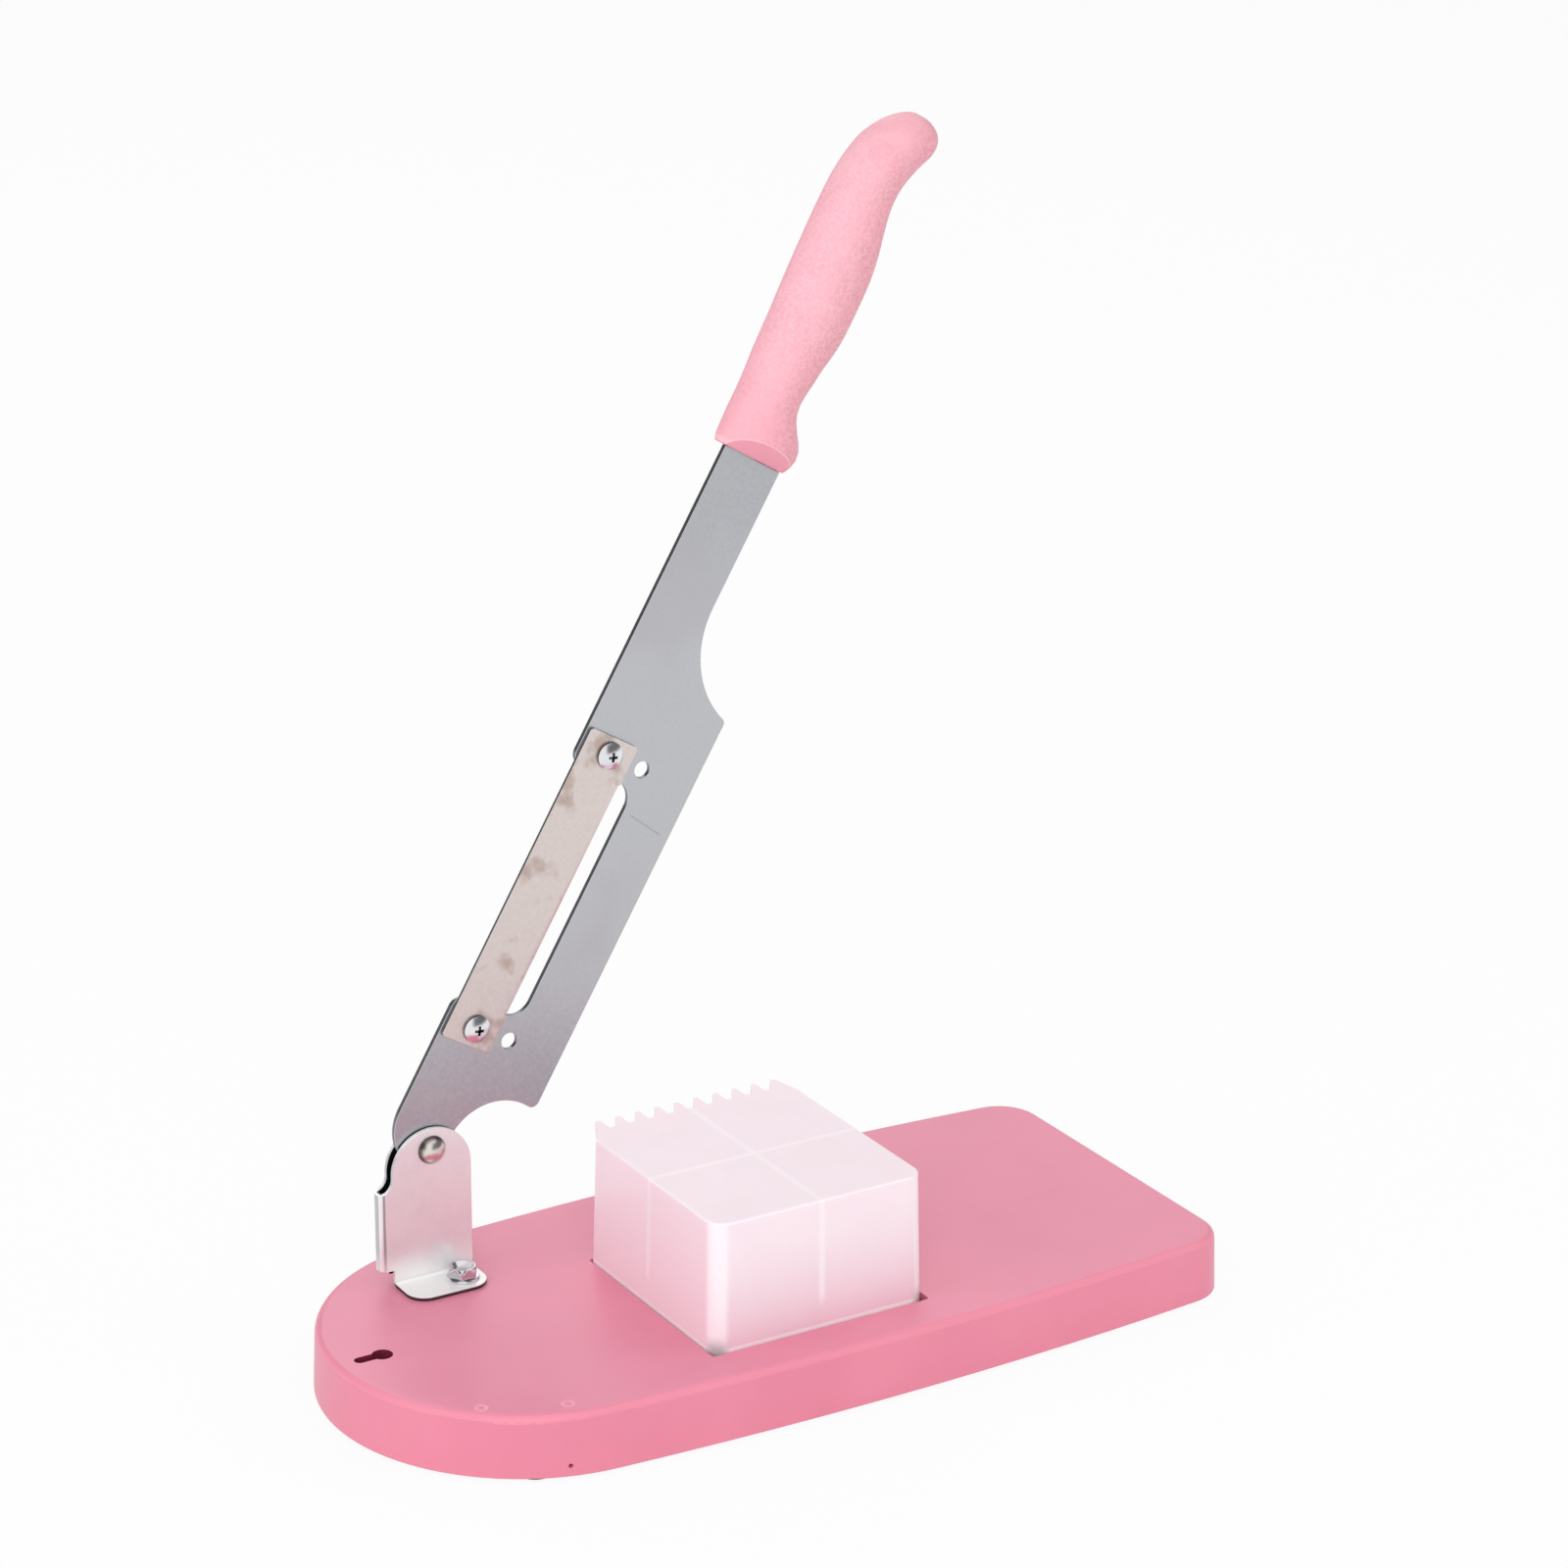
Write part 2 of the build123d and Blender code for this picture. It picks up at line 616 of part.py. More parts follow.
def pusher_box():
    """Open-bottomed box with a cross of ribs under its top and a row of gripping teeth."""
    outer = extrude(Rectangle(pusher_base_width, pusher_base_depth), pusher_height, taper=pusher_draft)
    outer = fillet(upright_edges(outer)[:2], pusher_front_radius)
    outer = fillet(upright_edges(outer)[-2:], pusher_rear_radius)
    outer = fillet(outer.faces().sort_by(Axis.Z)[-1].edges(), pusher_edge_round)
    inside_width = pusher_base_width - 2 * pusher_wall
    inside_depth = pusher_base_depth - 2 * pusher_wall
    inner = extrude(Rectangle(inside_width, inside_depth), pusher_height - pusher_wall, taper=pusher_draft)
    inner = fillet(upright_edges(inner)[:2], pusher_front_radius - pusher_wall)
    box = outer - inner
    rib_bottom = pusher_height - pusher_wall - pusher_rib_drop
    rib_middle = rib_bottom + pusher_rib_drop / 2
    rib_slack = 2 * rib_bottom * tan(radians(pusher_draft)) - pusher_wall
    box += Pos(0, 0, rib_middle) * Box(pusher_rib, inside_depth - rib_slack, pusher_rib_drop)
    box += Pos(0, pusher_rib_shift_y, rib_middle) * Box(inside_width - rib_slack, pusher_rib, pusher_rib_drop)
    teeth = extrude(tooth_row(), tooth_thickness)
    box += Pos(0, 0, pusher_height - tooth_thickness) * teeth
    return Pos(pusher_x, pusher_y, board_top - pocket_depth) * box


def all_parts():
    parts = {"base_board": base_board(), "hinge_bracket": hinge_bracket()}
    for name, (x, y) in foot_places().items():
        parts[name] = rubber_foot(x, y)
    for side, (x, y) in bolt_places().items():
        parts[f"{side}_foot_bolt"] = foot_bolt(x, y)
        parts[f"{side}_foot_washer"] = foot_washer(x, y)
        parts[f"{side}_foot_nut"] = foot_nut(x, y)
    parts["pivot_rivet"] = pivot_rivet()
    parts["front_pivot_washer"] = pivot_washer(-1)
    parts["rear_pivot_washer"] = pivot_washer(1)
    parts["blade_arm"] = blade_arm()
    parts["handle"] = handle()
    parts["peeler_blade"] = peeler_blade()
    for name, (u, _) in zip(("lower", "upper"), screw_places(screw_v)):
        parts[f"{name}_peeler_screw"] = peeler_screw(u)
        parts[f"{name}_peeler_nut"] = peeler_nut(u)
    parts["pusher_box"] = pusher_box()
    return parts


def arm_limits():
    """How far the arm turns from rest: down until its toe meets the board, up to the web."""
    toe_u = toe_curve_u - sqrt(toe_curve_radius ** 2 - (edge_v - toe_curve_v) ** 2)
    reach = hypot(toe_u, edge_v)
    down = degrees(atan2(-edge_v, toe_u) - asin(pivot_height / reach))
    corner_x = -ear_width / 2 - web_reach + sheet
    corner_z = web_top - pivot_height
    far = hypot(corner_x, corner_z)
    up = degrees(atan2(corner_z, corner_x) % radians(360) - asin(spine_v / far))
    return down - arm_rest_angle, up - arm_rest_angle


os.makedirs("parts", exist_ok=True)
for part_name, part_solid in all_parts().items():
    export_step(part_solid, f"parts/{part_name}.step")
    print(part_name, round(part_solid.volume, 1))
print("arm limits from rest, degrees:", [round(angle, 2) for angle in arm_limits()])
print("pivot", pivot_x, bracket_y, pivot_z, "board top", board_top, "pusher top", pusher_top)
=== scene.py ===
# %% [markdown]
# # A manual meat slicer, dressed for its portrait
#
# The object is a hand tool for thin slices: a thick pink board, a folded bracket riveted round a
# long steel arm, a moulded grip, a strip screwed over a window in the arm, and a milky box whose
# teeth push the food. The construction is loaded as a fixed frame in metres. This lesson gives
# every surface its finish and models by hand the pieces whose looks need more than the frame has.

# %% Load the frame
import bpy
import bmesh
import json
from math import atan2, cos, floor as round_down, pi, radians, sin
from mathutils import Matrix, Vector


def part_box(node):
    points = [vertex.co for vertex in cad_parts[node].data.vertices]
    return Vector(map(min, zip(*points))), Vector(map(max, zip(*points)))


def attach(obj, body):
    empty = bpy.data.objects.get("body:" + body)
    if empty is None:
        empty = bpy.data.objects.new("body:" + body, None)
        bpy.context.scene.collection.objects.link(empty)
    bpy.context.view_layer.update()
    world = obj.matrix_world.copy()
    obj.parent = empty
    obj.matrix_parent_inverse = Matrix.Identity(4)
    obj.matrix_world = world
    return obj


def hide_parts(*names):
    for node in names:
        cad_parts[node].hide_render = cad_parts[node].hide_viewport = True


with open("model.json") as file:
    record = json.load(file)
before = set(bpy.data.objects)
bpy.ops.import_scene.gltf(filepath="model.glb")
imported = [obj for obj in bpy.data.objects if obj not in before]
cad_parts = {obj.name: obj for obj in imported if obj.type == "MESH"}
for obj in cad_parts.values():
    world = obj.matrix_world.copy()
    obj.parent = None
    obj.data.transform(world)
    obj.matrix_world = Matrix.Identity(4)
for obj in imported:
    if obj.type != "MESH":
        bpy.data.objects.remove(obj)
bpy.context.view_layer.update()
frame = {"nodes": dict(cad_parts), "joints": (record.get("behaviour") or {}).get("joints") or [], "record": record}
nodes = frame["nodes"]
slot_of = {part["node"]: part["material_slot"] for part in frame["record"]["subparts"]}
mm = 0.001

# %% [markdown]
# ## Places read from the frame
#
# A piece that is modelled by hand has to sit exactly where the frame carries it. So the places
# are measured on the frame's own nodes, and only the few sizes that a box can't tell, such as the
# angle at which the arm stands, are written down here.

# %% Measure the frame
board_low, board_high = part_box("base_board")
pusher_low, pusher_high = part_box("pusher_box")
pivot = Vector(next(joint["pos_m"] for joint in frame["joints"] if joint["type"] == "hinge"))
arm_angle = radians(59.4)
arm_place = Matrix.Translation(pivot) @ Matrix.Rotation(-arm_angle, 4, "Y")
print("board", tuple(board_low), tuple(board_high), "pivot", tuple(pivot))


def box_middle(node):
    low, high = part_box(node)
    return (low + high) / 2


def along_arm(node):
    """The middle of a node in the arm's own plane: u along it, y across, v towards the spine."""
    return arm_place.inverted() @ box_middle(node)


# %% [markdown]
# ## The camera
#
# The photograph was taken from the front left, a little above the board, with a long lens. The
# camera is built from the same few facts a photographer would note: which way it looks, how far
# away it stands, and how the frame was shifted when the picture was cut square.

# %% Set up the camera
view_azimuth = radians(-31.08)
view_height = radians(20.08)
view_roll = radians(0.29)
view_distance = 1.49628
aim_sideways = 0.00101
aim_up = 0.17294
frame_lift = 0.0016
lens_length = 100.958
shift_sideways = 0.02194
shift_up = 0.01556

look = Vector((-sin(view_azimuth) * cos(view_height), cos(view_azimuth) * cos(view_height),
               -sin(view_height)))
level = Vector((cos(view_azimuth), sin(view_azimuth), 0))
upright = level.cross(look)
right = level * cos(view_roll) + upright * sin(view_roll)
up = upright * cos(view_roll) - level * sin(view_roll)
stand = -look * view_distance + right * aim_sideways + up * aim_up + Vector((0, 0, frame_lift))

camera_data = bpy.data.cameras.new("portrait_camera")
camera = bpy.data.objects.new("portrait_camera", camera_data)
bpy.context.scene.collection.objects.link(camera)
turn = Matrix((right, up, -look)).transposed()
camera.matrix_world = Matrix.Translation(stand) @ turn.to_4x4()
camera_data.lens = lens_length
camera_data.sensor_width = 36
camera_data.shift_x = shift_sideways
camera_data.shift_y = shift_up
camera_data.clip_end = 100
bpy.context.scene.camera = camera
print("camera stands at", tuple(round(value, 3) for value in stand))

# %% [markdown]
# ## Helpers for shader nodes
#
# Every finish is built from nodes. What a node puts out is wrapped as a value, so that sums of
# masks are written as sums, and a few small helpers fade, mix and paint with such values. Colours
# are written as a painter would pick them from a screen and turned into the linear values that
# the shader wants.

# %% Write the node helpers
mix_first, mix_second, mix_result = 6, 7, 2  # where a Mix node keeps its colour sockets


class Value:
    """What a node puts out. It adds, subtracts and multiplies like a plain number."""

    def __init__(self, node, output=0):
        self.socket = node.outputs[output]
        self.tree = node.id_data

    def __add__(self, other):
        return maths("ADD", self, other)

    def __sub__(self, other):
        return maths("SUBTRACT", self, other)

    def __mul__(self, other):
        return maths("MULTIPLY", self, other)

    def __abs__(self):
        return maths("ABSOLUTE", self)


def linear(value):
    """One screen colour channel, 0 to 255, as a linear value."""
    share = value / 255
    return share / 12.92 if share <= 0.04045 else ((share + 0.055) / 1.055) ** 2.4


def paint(red, green, blue):
    return (linear(red), linear(green), linear(blue), 1)


def add_node(tree, kind, **values):
    """Add a node; names with a capital letter set input sockets and the others set properties."""
    node = tree.nodes.new(kind)
    for name, value in values.items():
        if name[0].isupper():
            node.inputs[name.replace("_", " ")].default_value = value
        else:
            setattr(node, name, value)
    return node


def feed(source, socket):
    """Give an input socket a value from another node, or a plain number or colour."""
    if isinstance(source, Value):
        socket.id_data.links.new(source.socket, socket)
    else:
        socket.default_value = source


def maths(operation, first, second=0.0):
    node = add_node(first.tree, "ShaderNodeMath", operation=operation)
    feed(first, node.inputs[0])
    feed(second, node.inputs[1])
    return Value(node)


def highest(first, *others):
    for other in others:
        first = maths("MAXIMUM", first, other)
    return first


def between(value, low, high, low_out=0.0, high_out=1.0):
    """A value taken from one range smoothly to another."""
    node = add_node(value.tree, "ShaderNodeMapRange", interpolation_type="SMOOTHSTEP",
                    From_Min=low, From_Max=high, To_Min=low_out, To_Max=high_out)
    feed(value, node.inputs["Value"])
    return Value(node)


def below(value, low, high, most=1.0):
    """The most up to one value, and from there smoothly down to 0 at another."""
    return between(value, low, high, most, 0.0)


def band(value, low, high, soft):
    """1 between two values and 0 outside them, with soft ends."""
    return between(value, low - soft, low + soft) * below(value, high - soft, high + soft)


def blend_colours(mask, first, second):
    """first where the mask is 0 and second where it is 1. Each is a value or a colour."""
    node = add_node(mask.tree, "ShaderNodeMix", data_type="RGBA")
    feed(mask, node.inputs["Factor"])
    feed(first, node.inputs[mix_first])
    feed(second, node.inputs[mix_second])
    return Value(node, mix_result)


def tint(colour, mask, *screen_colour):
    """Paint a screen colour over another colour, as far as the mask lets it."""
    return blend_colours(mask, colour, paint(*screen_colour))


def three_parts(vector):
    split = add_node(vector.tree, "ShaderNodeSeparateXYZ")
    feed(vector, split.inputs[0])
    return [Value(split, axis) for axis in "XYZ"]


def object_place(tree):
    return Value(add_node(tree, "ShaderNodeTexCoord"), "Object")


def place_of(tree):
    """The point's place on the object, as three values."""
    return three_parts(object_place(tree))


def facing(tree):
    """The way the surface faces in the object's own axes, as three values."""
    geometry = add_node(tree, "ShaderNodeNewGeometry")
    turned = add_node(tree, "ShaderNodeVectorTransform", vector_type="NORMAL",
                      convert_from="WORLD", convert_to="OBJECT")
    feed(Value(geometry, "Normal"), turned.inputs[0])
    return three_parts(Value(turned))


def reach_from(x, y, middle_x, middle_y):
    """How far a point lies from a middle in one plane."""
    off_x, off_y = x - middle_x, y - middle_y
    return maths("SQRT", off_x * off_x + off_y * off_y)


print("node helpers ready")

# %% [markdown]
# ## Effects that several finishes share
#
# Cloudy variation, rolled or ground lines, fine grain and stray scratches turn up on plastic and
# steel alike. Each is built once as a node group with named inputs, and every material then
# places it with its own values. A group gives out only masks and heights, never a finished shader.


# %% Build the shared groups
def new_group(name, inputs, outputs):
    group = bpy.data.node_groups.new(name, "ShaderNodeTree")
    for label, value in inputs:
        socket = group.interface.new_socket(label, in_out="INPUT", socket_type="NodeSocketFloat")
        socket.default_value = value
    for label in outputs:
        group.interface.new_socket(label, in_out="OUTPUT", socket_type="NodeSocketFloat")
    start = group.nodes.new("NodeGroupInput")
    end = group.nodes.new("NodeGroupOutput")
    return group, start, end


def stretched_place(tree, turn_y, stretch):
    """Object coordinates turned about Y and drawn out along the turned X."""
    mapping = add_node(tree, "ShaderNodeMapping", vector_type="TEXTURE",
                       Rotation=(0, turn_y, 0), Scale=(stretch, 1, 1))
    feed(object_place(tree), mapping.inputs["Vector"])
    return Value(mapping)


def noise(place, scale, detail, roughness):
    texture = add_node(place.tree, "ShaderNodeTexNoise", Detail=detail, Roughness=roughness)
    feed(place, texture.inputs["Vector"])
    feed(scale, texture.inputs["Scale"])
    return Value(texture, "Fac")


def make_clouds():
    """Soft blotches and a fine grain, both from 0 to 1."""
    group, start, end = new_group(
        "cloudy_variation", (("Cloud Scale", 30.0), ("Grain Scale", 900.0)), ("Clouds", "Grain"))
    place = object_place(group)
    for label, output, detail in (("Cloud Scale", "Clouds", 3.0), ("Grain Scale", "Grain", 2.0)):
        blotches = noise(place, Value(start, label), detail, 0.55)
        feed(between(blotches, 0.3, 0.7), end.inputs[output])
    return group


def make_lines(name, turn_y, stretch):
    """Fine lines along one direction, as rolling or grinding leaves them on sheet steel."""
    group, start, end = new_group(name, (("Line Scale", 900.0),), ("Lines",))
    fine = noise(stretched_place(group, turn_y, stretch), Value(start, "Line Scale"), 4.0, 0.7)
    feed(between(fine, 0.25, 0.75), end.inputs["Lines"])
    return group


def make_scratches():
    """Short straight scratches in three directions, 1 in a scratch and 0 beside it.

    Each cell of a drawn-out pattern holds one thin streak, and only a share of the cells keeps it.
    """
    group, start, end = new_group(
        "stray_scratches", (("Cells", 700.0), ("Width", 0.07), ("Share", 0.2)), ("Scratches",))
    directions = []
    for turn_y, stretch in ((0.35, 40), (-0.8, 55), (1.25, 48)):
        cells = add_node(group, "ShaderNodeTexVoronoi", feature="F1")
        feed(stretched_place(group, turn_y, stretch), cells.inputs["Vector"])
        feed(Value(start, "Cells"), cells.inputs["Scale"])
        streak = maths("LESS_THAN", Value(cells, "Distance"), Value(start, "Width"))
        chance = three_parts(Value(cells, "Color"))[0]
        directions.append(streak * maths("LESS_THAN", chance, Value(start, "Share")))
    feed(highest(*directions), end.inputs["Scratches"])
    return group


clouds_group = make_clouds()
arm_lines_group = make_lines("lines_along_the_arm", -arm_angle, 12)
sheet_lines_group = make_lines("lines_up_the_sheet", pi / 2, 25)
scratches_group = make_scratches()
print("groups", [group.name for group in bpy.data.node_groups])

# %% [markdown]
# ## How a finish starts
#
# Each finish is one Principled shader. A value that is the same all over the surface is set on the
# shader's own socket, and only what changes from place to place comes through nodes. Small bumps
# go through one Bump node, whose distance is the real height of the texture.


# %% Start a material
def new_material(name, roughness, metallic=0.0, **values):
    """A material with one Principled shader, whose constant values sit on its own sockets."""
    material = bpy.data.materials.new(name)
    material.use_nodes = True
    tree = material.node_tree
    shader = tree.nodes["Principled BSDF"]
    shader.inputs["Roughness"].default_value = roughness
    shader.inputs["Metallic"].default_value = metallic
    for label, value in values.items():
        shader.inputs[label.replace("_", " ")].default_value = value
    return material, tree, shader


def use_group(tree, group, **values):
    """Place a group and return what it puts out, as a list of values."""
    node = add_node(tree, "ShaderNodeGroup", node_tree=group)
    for label, value in values.items():
        node.inputs[label.replace("_", " ")].default_value = value
    return [Value(node, output.name) for output in node.outputs]


def clouds_on(tree, cloud_scale, grain_scale):
    return use_group(tree, clouds_group, Cloud_Scale=cloud_scale, Grain_Scale=grain_scale)


def scratches_on(tree, cells, width, share):
    return use_group(tree, scratches_group, Cells=cells, Width=width, Share=share)[0]


def raise_surface(shader, height, strength, distance):
    bump = add_node(height.tree, "ShaderNodeBump", Strength=strength, Distance=distance)
    feed(height, bump.inputs["Height"])
    feed(Value(bump), shader.inputs["Normal"])


print("material helpers ready")

# %% [markdown]
# ## Pink board plastic
#
# The board is moulded in a satin pink plastic. Its top has a fine grain that scatters the light,
# and knives and cloths have left faint scuffs. The top is painted a little paler than the walls as
# a painted sheen, and the rounded rim, which catches more light than the flats, gets a painted
# highlight. The rim is found by how the surface leans, which stays true from every side. Two
# moulding marks show as pale rings on the top, painted paler also to lift the shade in their
# shallow grooves, and the inside of the hanging slot is painted dark as shade.

# %% Make the board plastic
ring_places = ((board_low.x + 28 * mm, -48.5 * mm), (board_low.x + 53 * mm, -60 * mm))
ring_inner = 1.1 * mm
ring_outer = 2.4 * mm
slot_middle = board_low.x + 13.5 * mm
slot_reach = 9 * mm
slot_half = 4 * mm


def ring_marks(x, y):
    """1 on the two moulding rings."""
    return highest(*[band(reach_from(x, y, *place), ring_inner, ring_outer, 0.15 * mm)
                     for place in ring_places])


def slot_shade(x, y, lean):
    """1 on the inside of the hanging slot, where shade is painted."""
    near_x = below(abs(x - slot_middle), slot_reach, slot_reach + mm)
    near_y = below(abs(y), slot_half, slot_half + mm)
    return near_x * near_y * below(abs(lean), 0.3, 0.6)


def make_board_plastic():
    material, tree, shader = new_material("board_pink_plastic", 0.42, Coat_Weight=0.1,
                                          Coat_Roughness=0.3)
    clouds, grain = clouds_on(tree, 22.0, 1400.0)
    scratches = scratches_on(tree, 500.0, 0.08, 0.12)
    x, y, z = place_of(tree)
    lean = facing(tree)[2]
    top = between(lean, 0.9, 0.99)
    # The top is painted a little paler than the walls, as a painted sheen.
    wall = blend_colours(clouds, paint(229, 131, 156), paint(234, 138, 162))
    sheen_top_colour = blend_colours(clouds, paint(231, 138, 163), paint(237, 146, 170))
    colour = blend_colours(top, wall, sheen_top_colour)
    # Painted highlight on the rounded rim.
    rim = band(lean, 0.3, 0.9, 0.12) * 0.5
    colour = tint(colour, rim, 248, 152, 174)
    scuffs = scratches * top * 0.16
    colour = tint(colour, scuffs, 250, 190, 205)
    near_top = between(z, board_high.z - 2 * mm, board_high.z - mm, 0.0, 0.6)
    # The moulding rings are painted paler, which also lifts the shade in their shallow grooves.
    colour = tint(colour, ring_marks(x, y) * near_top, 255, 196, 210)
    # Painted shade inside the hanging slot.
    colour = tint(colour, slot_shade(x, y, lean), 120, 36, 56)
    feed(colour, shader.inputs["Base Color"])
    feed(between(clouds, 0, 1, 0.38, 0.48), shader.inputs["Roughness"])
    raise_surface(shader, grain, 0.1, 0.08 * mm)
    return material


board_plastic = make_board_plastic()
print(board_plastic.name)

# %% [markdown]
# ## Pearly grip plastic
#
# The grip is a paler pink than the board, with a fine moulded grain and a pearly flow in it that
# is strongest at the hooked pommel. Its narrow back is painted deeper pink than its broad faces as
# shade, its palm side is painted darker as shade, and the facets at its lower end are painted
# deeper pink as shade, with a painted highlight along their borders.
# Which side a point is on is told by the way the surface faces in the arm's own directions. A
# thin parting line runs round it where the two halves of its mould met.

# %% Make the grip plastic
arm_along = Vector((cos(arm_angle), 0, sin(arm_angle)))
arm_back = Vector((-sin(arm_angle), 0, cos(arm_angle)))
grip_places = [vertex.co.dot(arm_along) for vertex in nodes["handle"].data.vertices]
grip_low_end = min(grip_places)
grip_high_end = max(grip_places)
pommel_heights = (0.36, 0.4)
seam_half = 0.16 * mm


def along_way(x, z, way):
    """How far a place lies, or how much a surface faces, along a direction in the arm's plane."""
    return x * way.x + z * way.z


def make_grip_plastic():
    material, tree, shader = new_material("grip_pearl_plastic", 0.55, Coat_Weight=0.05,
                                          Coat_Roughness=0.35)
    clouds, grain = clouds_on(tree, 60.0, 900.0)
    flow = add_node(tree, "ShaderNodeTexWave", wave_type="BANDS", bands_direction="DIAGONAL",
                    Scale=26.0, Distortion=9.0, Detail=2.0, Detail_Scale=1.4)
    feed(object_place(tree), flow.inputs["Vector"])
    x_place, y_place, height = place_of(tree)
    x, side, z = facing(tree)
    near_pommel = between(height, *pommel_heights, 0.12, 0.5)
    colour = blend_colours(grain, paint(240, 168, 182), paint(252, 188, 201))
    colour = tint(colour, clouds * 0.45, 252, 192, 204)
    colour = tint(colour, Value(flow, "Fac") * near_pommel, 255, 201, 211)
    up_grip = along_way(x_place, height, arm_along)
    low_end = below(up_grip, grip_low_end, grip_low_end + 45 * mm, 0.6)
    high_end = between(up_grip, grip_high_end - 30 * mm, grip_high_end - 5 * mm, 0.0, 0.4)
    colour = tint(colour, low_end + high_end, 247, 168, 183)
    # The palm side is painted darker as shade.
    palm_shade = between(along_way(x, z, -arm_back), -0.2, 0.28, 0.0, 0.75)
    shaded_palm_colour = blend_colours(grain, paint(213, 144, 156), paint(233, 166, 178))
    colour = blend_colours(palm_shade, colour, shaded_palm_colour)
    # The narrow back is painted deeper pink as shade.
    back = between(along_way(x, z, arm_back), 0.3, 0.6) * between(side, 0.1, 0.6) * 0.7
    colour = tint(colour, back, 240, 150, 168)
    downward = along_way(x, z, -arm_along)
    # The downward facets are painted deeper pink as shade.
    facet_shade = between(downward, 0.5, 0.6, 0.0, 0.8)
    colour = tint(colour, facet_shade, 238, 157, 175)
    # Painted highlight along the facets' borders.
    facet_rim_highlight = band(downward, 0.22, 0.5, 0.06) * 0.3
    colour = tint(colour, facet_rim_highlight, 255, 216, 226)
    feed(colour, shader.inputs["Base Color"])
    seam = below(abs(y_place - pivot.y), 0.0, seam_half)
    raise_surface(shader, grain * 0.8 + seam, 0.5, 0.12 * mm)
    return material


grip_plastic = make_grip_plastic()
print(grip_plastic.name)

# %% [markdown]
# ## Milky pusher plastic
#
# The box is thin, milky and slightly see-through. Its inner ribs show as paler lines where they
# meet the skin. The lower part of its walls is painted pinker, as painted light from the pink
# board, its left side is painted lighter as painted light, and its rounded edges and a band round
# its foot get painted highlights. Its two front corners are painted grey low down. All of it is
# painted by the place on the box and by the way the surface faces, so it stays put when the box
# is turned or lifted.

# %% Make the pusher plastic
rib_x = (pusher_low.x + pusher_high.x) / 2
rib_half = 0.8 * mm
pusher_wall = 2.2 * mm
pusher_base_depth = 82.06 * mm
rib_y = pusher_low.y + pusher_base_depth / 2 + 2.6 * mm
rib_bottom = pusher_high.z - pusher_wall - 34 * mm
lip_highlight_height = 1.2 * mm
corner_grey_height = 6 * mm


def pusher_ribs(x, y, z):
    """1 where a rib stands behind the skin, softly spread as milky plastic spreads it."""
    lines = highest(*[below(abs(value - middle), rib_half * 0.4, rib_half * 2.2)
                      for value, middle in ((x, rib_x), (y, rib_y))])
    return lines * between(z, rib_bottom - 2 * mm, rib_bottom + 3 * mm)


def rounded_edges(tree):
    """1 where the surface turns from one flat face of a box into the next."""
    return below(highest(*[part * part for part in facing(tree)]), 0.86, 0.9985)


def low_corner_grey(x, y, z):
    """1 low down on the two front corners, next to the pocket."""
    beside = maths("MINIMUM", abs(x - pusher_low.x), abs(x - pusher_high.x))
    reach = beside + abs(y - pusher_low.y)
    return below(z, board_high.z, board_high.z + corner_grey_height) * below(reach, 3.5 * mm, 7 * mm)


def make_pusher_plastic():
    material, tree, shader = new_material("pusher_milky_plastic", 0.34, Subsurface_Weight=0.15,
                                          Subsurface_Scale=0.004, Coat_Weight=0.12)
    shader.inputs["Subsurface Radius"].default_value = (1.0, 0.6, 0.65)
    x, y, z = place_of(tree)
    clouds, grain = clouds_on(tree, 45.0, 1500.0)
    # The lower walls are painted pinker, as painted light from the pink board below.
    pink_bounce_light = below(z, board_high.z - 4 * mm, pusher_high.z - 4 * mm)
    colour = blend_colours(pink_bounce_light, paint(250, 232, 239), paint(236, 203, 214))
    colour = tint(colour, clouds * 0.2, 246, 218, 228)
    # The left side is painted lighter, as painted light.
    lit_left_side = between(facing(tree)[0] * -1, 0.9, 0.99, 0.0, 0.6)
    colour = tint(colour, lit_left_side, 252, 226, 235)
    colour = tint(colour, pusher_ribs(x, y, z) * 0.55, 255, 244, 249)
    # Painted highlight on the rounded edges.
    colour = tint(colour, rounded_edges(tree) * 0.65, 255, 247, 251)
    # Painted highlight round the foot of the box, which also covers the shade in the gap to its pocket.
    lip_highlight = band(z, board_high.z - 0.6 * mm, board_high.z + lip_highlight_height, 0.25 * mm)
    colour = tint(colour, lip_highlight * 0.85, 255, 240, 246)
    # The two front corners are painted grey low down.
    colour = tint(colour, low_corner_grey(x, y, z) * 0.75, 160, 156, 156)
    feed(colour, shader.inputs["Base Color"])
    raise_surface(shader, grain, 0.05, 0.06 * mm)
    return material


pusher_plastic = make_pusher_plastic()
print(pusher_plastic.name)

# %% [markdown]
# ## Ground steel of the arm and the strip
#
# Stock steel sheet has an even mottled grain, faint lines along the way it was ground, a few stray
# scratches and the odd smudge. Its cut edges are painted darker than its faces as shade, and the
# small round that deburring leaves between the two is painted as the brightest line on the piece,
# a painted highlight. All three are told apart by how much the surface faces across the arm.

# %% Make the two steels
scratch_low_v = -28.4 * mm
scratch_high_v = -14.1 * mm
scratch_slope = 0.14
scratch_start = 130.1 * mm


def place_on_arm(tree):
    """The point's place in the arm's own plane, as two values: u along it and v to its spine."""
    x, _, z = place_of(tree)
    off_x, off_z = x - pivot.x, z - pivot.z
    return along_way(off_x, off_z, arm_along), along_way(off_x, off_z, arm_back)


def long_scratch(along, outward):
    """1 on one deeper scratch that runs across the arm beside the window."""
    off = abs(along - (outward * scratch_slope + scratch_start))
    return band(outward, scratch_low_v, scratch_high_v, mm) * below(off, 0.12 * mm, 0.3 * mm)


